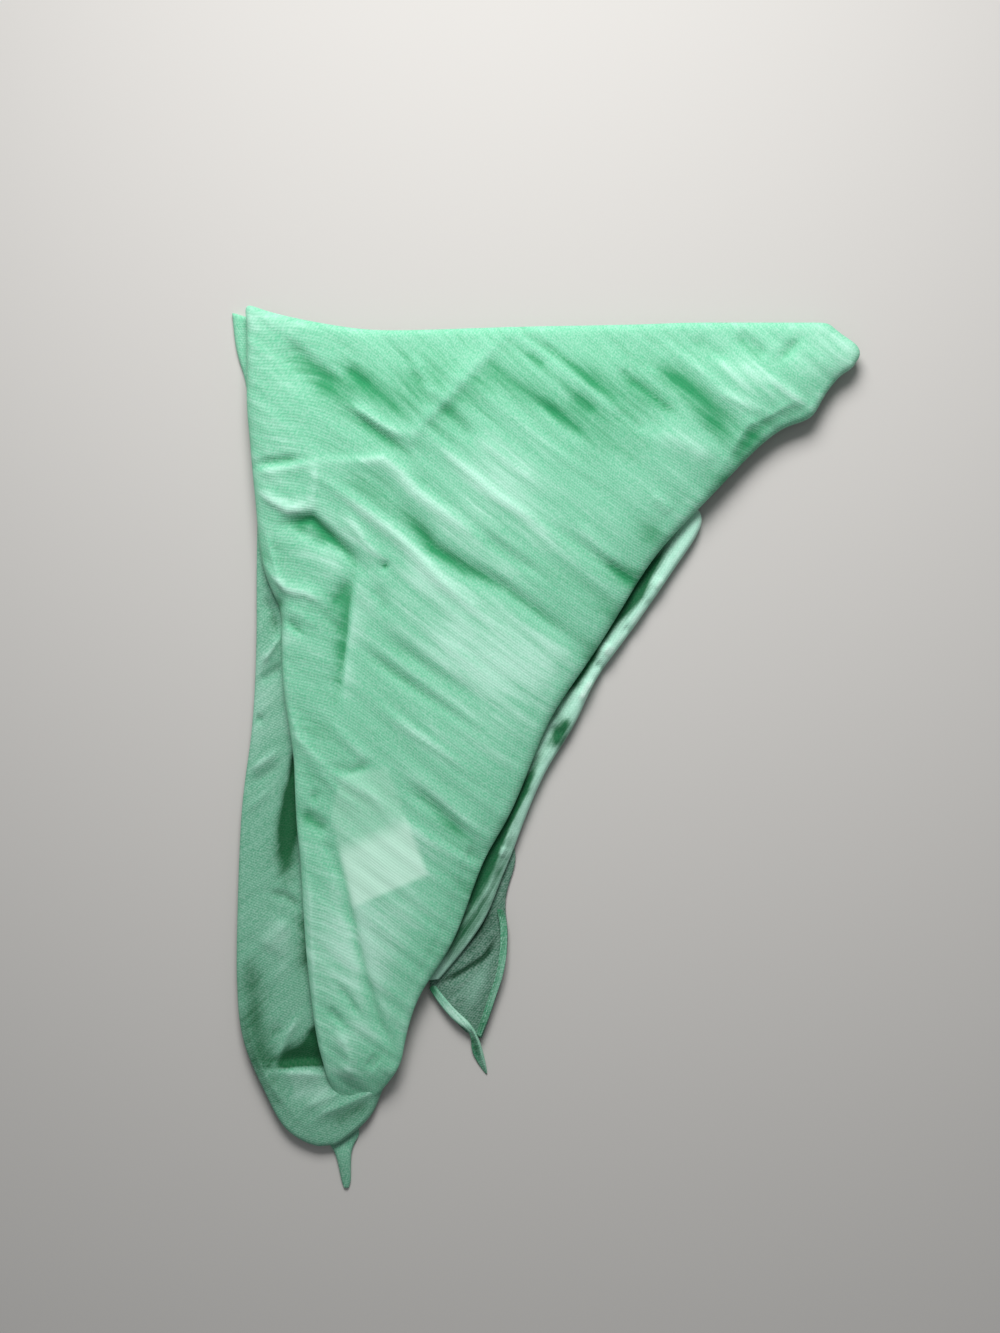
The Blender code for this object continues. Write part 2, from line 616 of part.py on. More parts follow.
def make_stack(plies, name, colour):
    """The hidden plies: pressed down by the hollows above them, layered at the edges, flat where they rest."""

    def top(column, row):
        line = STACK.last + (STACK.first - STACK.last) * row / (STACK_ROWS - 1)
        size = STACK.at(line)
        share = closer_at_ends(column / (STACK_COLUMNS - 1))
        x = size.left + (size.right - size.left) * share
        y = line + plies[0].bend(x, line)
        room = LABEL_ROOM if on_label(x, y, STACK_REACH) else 0.0
        lowest = STACK_FLOOR
        if column in (0, STACK_COLUMNS - 1) or row in (0, STACK_ROWS - 1):
            lowest += size.left_open + (size.right_open - size.left_open) * smooth(share)
        return Vector((x, y, max(under(plies, x, y, STACK_REACH) - room, lowest))) * MM

    bm = grid(STACK_COLUMNS, STACK_ROWS, top)
    ring = rim_of(bm)
    middle = sum((v.co for v in bm.verts), Vector()) / len(bm.verts)
    outward, start = {}, {}
    for vertex in {v for edge in ring for v in edge.verts}:
        ends = [e.other_vert(vertex).co for e in vertex.link_edges if e.is_boundary]
        along = (ends[1] - ends[0]).to_2d().normalized()
        normal = Vector((along.y, -along.x))
        if normal.dot((vertex.co - middle).to_2d()) < 0:
            normal.negate()
        outward[vertex], start[vertex] = normal, vertex.co.copy()
    for height, leaf_share, groove in LEAF_PROFILE:
        made = bmesh.ops.extrude_edge_only(bm, edges=ring)["geom"]
        ring = [g for g in made if isinstance(g, bmesh.types.BMEdge)]
        moved = [g for g in made if isinstance(g, bmesh.types.BMVert)]
        source = {v: next(e.other_vert(v) for e in v.link_edges if e.other_vert(v) in outward) for v in moved}
        outward = {v: outward[source[v]] for v in moved}
        start = {v: start[source[v]] for v in moved}
        for vertex in moved:
            place = start[vertex] / MM
            size = STACK.at(place.y - plies[0].bend(place.x, place.y))
            share = smooth((place.x - size.left) / (size.right - size.left))
            leaf = size.left_leaf + (size.right_leaf - size.left_leaf) * share
            open_height = size.left_open + (size.right_open - size.left_open) * share
            out = outward[vertex] * (leaf * leaf_share + groove) * MM
            vertex.co = start[vertex] + out.to_3d()
            vertex.co.z = open_height * height * MM
    close_underneath(bm, ring)
    return finish(bm, name, colour)


def make_label(plies):
    """The sewn label, a ribbon between the top ply and the stack."""

    def place(column, row):
        across = LABEL_SIZE[0] * (column / (LABEL_CELLS[0] - 1) - 0.5)
        down = LABEL_SIZE[1] * (0.5 - row / (LABEL_CELLS[1] - 1))
        x = LABEL_CENTRE[0] + across * math.cos(LABEL_TILT) - down * math.sin(LABEL_TILT)
        y = LABEL_CENTRE[1] + across * math.sin(LABEL_TILT) + down * math.cos(LABEL_TILT)
        return Vector((x, y, under(plies, x, y, STACK_REACH / 2))) * MM

    bm = grid(*LABEL_CELLS, place)
    return finish(bm, "care_label", LABEL_WHITE, LABEL_THICKNESS)


def make_hem(ply, name, hem, edge, inward):
    """A turned and sewn edge: a narrow band on the corner's ply, made from the ply's own points, moved out.

    edge is 0 for the ply's left edge and 1 for its right one, and inward is +1 or -1 along X.
    """
    columns, rows = HEM_CELLS

    def place(column, row):
        line = hem.first + (hem.last - hem.first) * row / (rows - 1)
        share = hem.start + (1 - hem.start) * column / (columns - 1)
        x = ply.edges(line)[edge] + inward * hem.width * share
        return Vector((x, line, ply.over(x, line) + GAP + HEM_THICKNESS)) * MM

    bm = grid(columns, rows, place)
    bmesh.ops.recalc_face_normals(bm, faces=bm.faces)
    if bm.faces[:][0].normal.z < 0:
        bmesh.ops.reverse_faces(bm, faces=bm.faces)
    return finish(bm, name, MINT, HEM_THICKNESS)


def centre_on_origin(objects):
    """Slides everything so that the outline's middle is over the origin."""
    bpy.context.view_layer.update()
    graph = bpy.context.evaluated_depsgraph_get()
    corners = [Vector(c) for obj in objects for c in obj.evaluated_get(graph).bound_box]
    for axis in (0, 1):
        values = [corner[axis] for corner in corners]
        middle = (min(values) + max(values)) / 2
        for obj in objects:
            obj.location[axis] -= middle


def main():
    for obj in list(bpy.data.objects):
        bpy.data.objects.remove(obj)
    all_folded = (FOLDED, FOLDED, FOLDED, FOLDED)
    top_kinds = (FOLDED, FOLDED, FOLDED, HIDDEN)
    side_kinds = (FOLDED, HEMMED, HIDDEN, FOLDED)
    second_kinds = (HIDDEN, FOLDED, FOLDED, HIDDEN)
    corner_kinds = (HIDDEN, HEMMED, HIDDEN, HIDDEN)
    top_ply = Ply(
        TOP_PLY_OUTLINE, TOP_PLY_HEIGHTS, top_kinds, TOP_PLY_FOLDS, end_rolls=(5.2, 1.0), bow=TOP_PLY_BOW
    )
    side_ply = Ply(SIDE_PLY_OUTLINE, SIDE_PLY_HEIGHTS, side_kinds, SIDE_PLY_FOLDS, end_rolls=(1.5, 1.8))
    second_fold = Ply(SECOND_FOLD_OUTLINE, SECOND_FOLD_HEIGHTS, second_kinds, end_rolls=(1.7, 1.5))
    corner = Ply(CORNER_OUTLINE, CORNER_HEIGHTS, corner_kinds, CORNER_FOLDS, end_rolls=(1.2, 1.2))
    corner_point = Ply(CORNER_POINT_OUTLINE, CORNER_POINT_HEIGHTS, all_folded, end_rolls=(0.8, 0.8))
    bottom_point = Ply(BOTTOM_POINT_OUTLINE, BOTTOM_POINT_HEIGHTS, all_folded, end_rolls=(0.8, 0.8))
    rear_corner = Ply(REAR_CORNER_OUTLINE, REAR_CORNER_HEIGHTS, all_folded, end_rolls=(2.4, 1.2))
    over_stack = (top_ply, side_ply)
    objects = [
        make_ply(top_ply, "top_ply", MINT, columns=24, rows=40),
        make_ply(side_ply, "side_ply", MINT, columns=8, rows=34),
        make_ply(second_fold, "second_fold", MINT, columns=3, rows=34),
        make_ply(corner, "hemmed_corner", SHEER_MINT, columns=5, rows=12),
        make_pressed(rear_corner, "rear_corner", DEEP_MINT, columns=2, rows=10),
        make_pressed(corner_point, "hemmed_corner_point", MINT, columns=2, rows=6),
        make_pressed(bottom_point, "bottom_point", DEEP_MINT, columns=2, rows=8),
        make_stack(over_stack, "folded_stack", DEEP_MINT),
        make_label(over_stack),
        make_hem(corner, "side_hem", SIDE_HEM, edge=1, inward=-1),
        make_hem(corner, "end_hem", END_HEM, edge=0, inward=1),
    ]
    centre_on_origin(objects)


main()
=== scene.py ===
# %% [markdown]
# A sarong, folded many times into a pointed wedge and laid flat on a surface, seen from straight above. The
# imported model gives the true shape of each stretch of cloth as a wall. This script gives each of them its
# fine creases, its weave and its colour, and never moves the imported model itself.

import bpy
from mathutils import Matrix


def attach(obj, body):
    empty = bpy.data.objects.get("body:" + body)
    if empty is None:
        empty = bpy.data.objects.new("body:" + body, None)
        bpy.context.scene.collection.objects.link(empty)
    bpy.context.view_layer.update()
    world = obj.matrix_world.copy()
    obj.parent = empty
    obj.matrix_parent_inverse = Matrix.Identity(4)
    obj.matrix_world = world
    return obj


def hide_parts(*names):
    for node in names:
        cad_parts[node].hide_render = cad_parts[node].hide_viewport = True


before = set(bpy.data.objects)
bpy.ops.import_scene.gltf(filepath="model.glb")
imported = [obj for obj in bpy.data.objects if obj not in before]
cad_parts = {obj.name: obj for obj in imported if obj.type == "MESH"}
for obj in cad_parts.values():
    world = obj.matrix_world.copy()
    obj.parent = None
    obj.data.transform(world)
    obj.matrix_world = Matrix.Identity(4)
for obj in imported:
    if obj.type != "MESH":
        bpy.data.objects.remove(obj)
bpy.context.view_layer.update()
print("nodes:", sorted(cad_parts))

# %% The tools that this lesson uses
import math
from collections import namedtuple

import bmesh
import bpy
import numpy as np
from mathutils import Matrix, Vector
from mathutils.bvhtree import BVHTree

MM = 0.001

# %% [markdown]
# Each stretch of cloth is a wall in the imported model, with an outer and an inner side. A cloth shell could be
# drawn again from nothing, or it could be taken from the wall. Taking it keeps the shell where the solid is,
# so the outer side is found here: it is all that can be reached from the highest face without going over a
# sharp edge. Its triangles are joined in pairs again, because four-sided faces are cut and rounded more
# evenly.

# %% Take the outer side of a wall
SHARP_TURN = math.radians(55)


def solid_copy(node):
    """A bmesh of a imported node, with its split corners merged."""
    bm = bmesh.new()
    bm.from_mesh(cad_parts[node].data)
    bmesh.ops.remove_doubles(bm, verts=bm.verts[:], dist=2e-6)
    return bm


def outer_side(node):
    """The faces that are reached from the highest one, joined in pairs."""
    bm = solid_copy(node)
    highest = max(bm.faces, key=lambda face: face.calc_center_median().z)
    outer, waiting = {highest}, [highest]
    while waiting:
        for edge in waiting.pop().edges:
            if edge.calc_face_angle(math.pi) < SHARP_TURN:
                found = [face for face in edge.link_faces if face not in outer]
                outer.update(found)
                waiting.extend(found)
    bmesh.ops.delete(bm, geom=[face for face in bm.faces if face not in outer], context="FACES")
    bmesh.ops.holes_fill(bm, edges=[edge for edge in bm.edges if edge.is_boundary], sides=8)
    any_turn = {"angle_face_threshold": math.pi, "angle_shape_threshold": math.pi}
    bmesh.ops.join_triangles(bm, faces=bm.faces[:], **any_turn)
    print(f"{node}: outer side of {len(bm.faces)} faces")
    return bm


# %% [markdown]
# The solid has the largest folds already, but coarsely. They are eased out of the flat part of the sheet, and
# come back below as creases with their full depth and their true course. The rolled edges keep their shape.

# %% Ease the coarse folds out
LEVEL = 0.8  # the upward part of its normal from which on a face counts as lying flat


def ease(bm, rounds):
    flat = [v for v in bm.verts if not v.is_boundary and all(face.normal.z > LEVEL for face in v.link_faces)]
    for _ in range(rounds):
        bmesh.ops.smooth_vert(bm, verts=flat, factor=0.5, use_axis_z=True)
    return bm


# %% [markdown]
# The walls are coarse, with faces about 10 mm wide. Creases a few millimetres wide need finer faces. A round
# of Catmull-Clark subdivision rounds the coarse facets off, and plain cuts make the faces small without more
# rounding. A little smoothing takes out what is left of the facets.

# %% Cut a sheet finer
def new_object(name, data):
    made = bpy.data.objects.new(name, data)
    bpy.context.scene.collection.objects.link(made)
    return made


def to_object(bm, name):
    mesh = bpy.data.meshes.new(name)
    bm.to_mesh(mesh)
    bm.free()
    return new_object(name, mesh)


def finer(bm, rounds, cuts, smoothing=2):
    holder = to_object(bm, "coarse")
    rounding = holder.modifiers.new("rounding", "SUBSURF")
    rounding.levels = rounding.render_levels = rounds
    fine = bpy.data.meshes.new_from_object(holder.evaluated_get(bpy.context.evaluated_depsgraph_get()))
    bpy.data.objects.remove(holder)
    bm = bmesh.new()
    bm.from_mesh(fine)
    if cuts:
        bmesh.ops.subdivide_edges(bm, edges=bm.edges[:], cuts=cuts, use_grid_fill=True)
    inner = [vertex for vertex in bm.verts if not vertex.is_boundary]
    for _ in range(smoothing):
        bmesh.ops.smooth_vert(bm, verts=inner, factor=0.5, use_axis_x=True, use_axis_y=True, use_axis_z=True)
    print(len(bm.faces), "finer faces")
    return bm


# %% [markdown]
# A crease is a line over the cloth with a height, which is below zero for a trough, and a width on each side,
# because a fold often falls off steeply on one side and gently on the other. The lines are given in
# millimetres. A crease is strongest in its middle and dies out towards both ends, as it does in real cloth. A
# line of a single point makes a round dent or bulge.

# %% Lay creases over a sheet
Crease = namedtuple("Crease", "rise left right path")
RIDGE, TROUGH = 1.35, 1.7  # how sharply each falls off, because a ridge is thinner than a trough is
FADE, LEFT_OVER = 0.3, 0.25  # the share of its length in which an end dies out, and the height left there


def creases(*rows):
    """The rows of a table: the rise, the widths to the left and to the right, and the points of the path."""
    return [Crease(rise, left, right, path) for rise, left, right, *path in rows]


def beside(points, start, end):
    """How far each point is from a straight leg, on which side of it, and how far along it."""
    leg = end - start
    length = np.hypot(*leg)
    from_start = points - start
    along = np.clip(from_start @ leg / length**2, 0, 1)
    away = np.hypot(*(from_start - along[:, None] * leg).T)
    side = leg[0] * from_start[:, 1] - leg[1] * from_start[:, 0]
    return away, side, along * length, length


def crease_height(points, crease):
    path = np.array(crease.path, float)
    sharpness = RIDGE if crease.rise > 0 else TROUGH
    if len(path) == 1:
        return crease.rise * np.exp(-((np.hypot(*(points - path[0]).T) / crease.left) ** sharpness))
    nearest = np.full(len(points), np.inf)
    side = np.zeros(len(points))
    reached = np.zeros(len(points))
    before = 0.0
    for start, end in zip(path[:-1], path[1:]):
        away, sign, along, length = beside(points, start, end)
        closer = away < nearest
        nearest[closer], side[closer], reached[closer] = away[closer], sign[closer], before + along[closer]
        before += length
    share = reached / before
    ends = np.clip(np.minimum(share, 1 - share) / FADE, 0, 1)
    ends = LEFT_OVER + (1 - LEFT_OVER) * ends * ends * (3 - 2 * ends)
    width = np.where(side > 0, crease.left, crease.right)
    return crease.rise * ends * np.exp(-((nearest / width) ** sharpness))


def relief(points, table):
    return sum(crease_height(points[:, :2], row) for row in table)


# %% [markdown]
# Between its creases thin cloth is never flat: it keeps long soft ripples from the way it was folded, side by
# side and uneven. They are sums of a few waves across the thread direction, each with its own spacing, and
# each wave bends and fades along its length.

# %% Ripples between the creases
Ripple = namedtuple("Ripple", "spacing rise phase wander")
BEND, ALONG, ACROSS = 31.0, 23.0, 37.0  # mm over which a wave bends, and over which it fades each way


def ripples(points, turn, waves):
    along = points[:, 0] * math.cos(turn) + points[:, 1] * math.sin(turn)
    across = points[:, 1] * math.cos(turn) - points[:, 0] * math.sin(turn)
    total = np.zeros(len(points))
    for wave in waves:
        bent = across + wave.wander * np.sin(along / BEND + wave.phase)
        fade = 0.55 + 0.45 * np.sin(along / ALONG + 2.3 * wave.phase + across / ACROSS)
        total += wave.rise * fade * np.sin(2 * math.pi * bent / wave.spacing + wave.phase)
    return total


# %% [markdown]
# Two things are stored at every corner of a sheet for its finish. The first is where it lies on the cloth's
# own threads, so that the weave bends with the cloth. The second is how deep it lies in a crease: its height
# against the mean height around it. The finish uses it for painted shade, which makes the colour deeper down
# in a crease, where light reaches it only through other folds, and for painted highlights on the ridges.

# %% Store the threads and the hollows
def neighbour_mean(mesh, values, rounds):
    ends = np.zeros(len(mesh.edges) * 2, np.int64)
    mesh.edges.foreach_get("vertices", ends)
    a, b = ends.reshape(-1, 2).T
    count = np.bincount(ends, minlength=len(values))
    for _ in range(rounds):
        total = np.bincount(a, values[b], len(values)) + np.bincount(b, values[a], len(values))
        values = (values + total) / (1 + count)
    return values


CLIMB = (0.3, 0.7)  # how far the place along and across the weft moves on as the cloth climbs


def thread_place(points, turn, curl):
    """Millimetres along the weft and across it. Left of curl the weft turns level, as the cloth bends."""
    x, y, z = points.T
    slope = math.tan(turn)
    bend = np.zeros(len(points))
    if curl is not None:
        start, reach = curl
        inside = np.clip((start + reach - x) / reach, 0, None)
        bend = slope * reach * np.where(inside < 1, inside**2 / 2, inside - 0.5)
    across = (y - slope * x - bend) * math.cos(turn) + CLIMB[1] * z
    along = x * math.cos(turn) + y * math.sin(turn) + CLIMB[0] * z
    return np.stack([along, across, z], axis=1)


def store(mesh, turn, curl=None, blur=60, painted_shading=()):
    points = np.zeros(len(mesh.vertices) * 3)
    mesh.vertices.foreach_get("co", points)
    points = points.reshape(-1, 3) / MM
    threads = mesh.attributes.new("threads", "FLOAT_VECTOR", "POINT")
    threads.data.foreach_set("vector", thread_place(points, turn, curl).astype(np.float32).ravel())
    # how far each corner lies below the mean height around it: the mask for painted shade in the creases and
    # painted highlights on the ridges
    hollow_shade = neighbour_mean(mesh, points[:, 2].copy(), blur) - points[:, 2]
    # the tables of painted shade and painted highlights deepen and pale that mask
    if painted_shading:
        hollow_shade -= relief(points, painted_shading)
    mesh.attributes.new("hollow_shade", "FLOAT", "POINT").data.foreach_set("value", hollow_shade.astype(np.float32))
    print(f"{mesh.name}: hollows from {hollow_shade.min():.2f} to {hollow_shade.max():.2f} mm")


# %% [markdown]
# The finishes are built from shader nodes. Written out, their sums are long to read, so one small class wraps
# a node's socket and lets Python's own signs add the Math nodes, and one method adds every other kind of
# node.

# %% Write shader sums as Python
class Finish:
    """A material under construction. It starts with its Principled shader."""

    def __init__(self, name):
        self.material = bpy.data.materials.new(name)
        self.material.use_nodes = True
        self.tree = self.material.node_tree
        self.shader = self.tree.nodes["Principled BSDF"]

    def node(self, kind, settings=None, sockets=None, output=0):
        """Adds a node: first its settings, then its sockets' values or links. Gives one of its outputs."""
        made = self.tree.nodes.new("ShaderNode" + kind)
        for name, value in (settings or {}).items():
            setattr(made, name, value)
        for name, value in (sockets or {}).items():
            self.set(made.inputs[name], value)
        return Amount(self, made.outputs[output])

    def set(self, socket, value):
        if isinstance(value, Amount):
            self.tree.links.new(value.socket, socket)
        else:
            socket.default_value = value

    def look(self, sockets):
        """Sets or links sockets of its Principled shader."""
        for name, value in sockets.items():
            self.set(self.shader.inputs[name], value)

    def mix(self, factor, first, second):
        """Goes from the first colour to the second as the factor goes from 0 to 1."""
        return self.node("Mix", {"data_type": "RGBA"}, {0: factor, 6: first, 7: second}, 2)


class Amount:
    """A varying number in a finish. Its arithmetic adds Math nodes."""

    def __init__(self, finish, socket):
        self.finish, self.socket = finish, socket

    def math(self, operation, *others):
        return self.finish.node("Math", {"operation": operation}, dict(enumerate((self, *others))))

    def __add__(self, other):
        return self.math("ADD", other)

    def __mul__(self, other):
        return self.math("MULTIPLY", other)

    def __sub__(self, other):
        return self.math("SUBTRACT", other)

    def __rsub__(self, other):
        return (self * -1) + other

    def sin(self):
        return self.math("SINE")

    def between(self, low, high):
        """0 up to low, 1 from high on, and a smooth step in between."""
        ranges = {"From Min": low, "From Max": high}
        return self.finish.node("MapRange", {"interpolation_type": "SMOOTHSTEP"}, {"Value": self, **ranges})


# %% [markdown]
# The cloth is woven from thin uneven threads, about one thread to a millimetre each way. Its finish has the
# weave as raised rows with small dashes across them, thicker threads that show as long thin streaks, and a
# colour with painted shade that makes it deeper in the hollows and painted highlights that make it paler on
# the ridges. All of it is measured in millimetres along the threads.

# %% The woven cloth's finish
def shade(hue):
    """A colour from 0 to 255, as it looks, as the numbers that the shader wants."""
    return (*(((c / 255 + 0.055) / 1.055) ** 2.4 for c in hue), 1.0)


WEAVE = 1.02  # millimetres from one weft thread to the next
DASH = 1.18  # and from one warp thread to the next
THREAD = (226, 244, 236)  # the light on the tops of the threads


def woven(name, mid, deep, pale, weave=1.0, streak=1.0, extra=None):
    finish = Finish(name)
    threads = finish.node("Attribute", {"attribute_name": "threads"}, output=1)
    place = finish.node("SeparateXYZ", sockets={"Vector": threads})
    along, across = place, Amount(finish, place.socket.node.outputs[1])
    # the threads wander a little, and each is thick in some stretches; the dye has patches and a fine grain
    drift = finish.node("TexNoise", sockets={"Vector": threads, "Scale": 0.09, "Detail": 2.0})
    rows = (across * (2 * math.pi / WEAVE) + drift * 5.0).sin()
    dashes = (along * (2 * math.pi / DASH) + across * (math.pi / WEAVE) + drift * 3.0).sin()
    threading = rows * 0.55 + dashes * 0.45
    stretched = finish.node("CombineXYZ", sockets={"X": along * 0.032, "Y": across * 0.38 + drift * 0.5})
    uneven = {"Detail": 3.0, "Roughness": 0.65}
    slub = finish.node("TexNoise", sockets={"Vector": stretched, "Scale": 1.0, **uneven})
    patches = finish.node("TexNoise", sockets={"Vector": threads, "Scale": 0.035, "Detail": 3.0})
    grain = finish.node("TexNoise", sockets={"Vector": threads, "Scale": 1.3, **uneven})
    # the painted shade of the creases and tables, together with the dye's slubs and patches, takes the colour
    # towards the deep colour or the pale highlight colour
    hollow_shade = finish.node("Attribute", {"attribute_name": "hollow_shade"}, output=2)
    shade_and_dye = hollow_shade + (slub - 0.5) * (2.2 * streak) + (patches - 0.5) * 0.8
    colour = finish.mix(shade_and_dye.between(-0.1, 2.2), shade(mid), shade(deep))
    colour = finish.mix((0 - shade_and_dye).between(-0.1, 1.4) * 0.8, colour, shade(pale))
    light_thread = threading * (0.16 * weave) + (grain - 0.5) * 2.5
    # the light painted on the tops of the threads is weaker where the colour is in painted shade
    painted_shade_share = shade_and_dye.between(0.2, 2.2)
    shaded = finish.mix(0.20, colour, shade(deep))
    lit = finish.mix(0.27 - painted_shade_share * 0.23, colour, shade(THREAD))
    colour = finish.mix(light_thread.between(-0.6, 0.7), shaded, lit)
    if extra:
        colour = extra(finish, colour)
    height = threading * (0.5 * weave) + slub * (2.2 * streak) + grain * 0.6
    bump = finish.node("Bump", sockets={"Strength": 0.55, "Distance": 0.00012, "Height": height})
    finish.look({"Base Color": colour, "Roughness": 0.86 - threading * 0.04, "Normal": bump})
    finish.look({"Sheen Weight": 0.1, "Sheen Roughness": 0.45, "Specular IOR Level": 0.25})
    return finish.material


# %% [markdown]
# Every stretch is finished in the same way: its bmesh becomes an object, a Solidify modifier gives the cloth
# its thickness on the inside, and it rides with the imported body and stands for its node.

# %% Turn a bmesh into a piece
CLOTH = 0.45  # the shell's thickness, which is a thin cloth's with some air


def piece(bm, name, node, slot, material, turn, curl=None, wall=CLOTH, blur=60, painted_shading=()):
    made = to_object(bm, name)
    made.data.shade_smooth()
    made.data.materials.append(material)
    store(made.data, math.radians(turn), curl, blur, painted_shading)
    if wall:
        thicken = made.modifiers.new("cloth", "SOLIDIFY")
        thicken.thickness = wall * MM
        thicken.offset = -1
    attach(made, "root")
    if node:
        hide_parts(node)
    return made


# %% [markdown]
# Rounding draws a sheet in a little at its rolled edges, and the outline of soft cloth is never as even as
# that of a solid. So the steep sides are moved out again, and a few places of an outline are pulled
# sideways, with a pull that fades with distance. Heights are left alone by both.

# %% Fill the outline out
def fuller(bm, amount):
    """Moves the steep sides of rolled edges outwards, in mm."""
    for vertex in bm.verts:
        vertex.normal_update()
    for vertex, away in [(v, v.normal.copy()) for v in bm.verts]:
        vertex.co.x += away.x * amount * MM
        vertex.co.y += away.y * amount * MM
    return bm


def nudge(bm, *nudges):
    """Pulls parts of an outline sideways: each nudge has its place, its reach and its way, all in mm."""
    for vertex in bm.verts:
        for x, y, reach, way_x, way_y in nudges:
            far = math.hypot(vertex.co.x / MM - x, vertex.co.y / MM - y) / reach
            vertex.co.x += way_x * MM * math.exp(-far * far)
            vertex.co.y += way_y * MM * math.exp(-far * far)
    return bm


# %% Press creases and ripples into a sheet
FREE_HEIGHT = 4.5  # from this height on, in mm, a crease has its full depth


def press(bm, table, turn, waves):
    """Moves a sheet's corners up and down by its creases and ripples, and less where it nears the surface."""
    points = np.array([vertex.co for vertex in bm.verts]) / MM
    change = ripples(points, math.radians(turn), waves) + relief(points, table)
    change = change * np.clip(points[:, 2] / FREE_HEIGHT, 0, 1)
    for vertex, rise in zip(bm.verts, change):
        vertex.co.z += rise * MM
    print(f"creases from {change.min():.2f} to {change.max():.2f} mm")


# %% [markdown]
# The top ply is the broad stretch that shows most. Its creases were placed one by one: the long trough that
# runs down to the right, the ridges beside it, the pockets near the left fold, and the hollows round the
# wing.

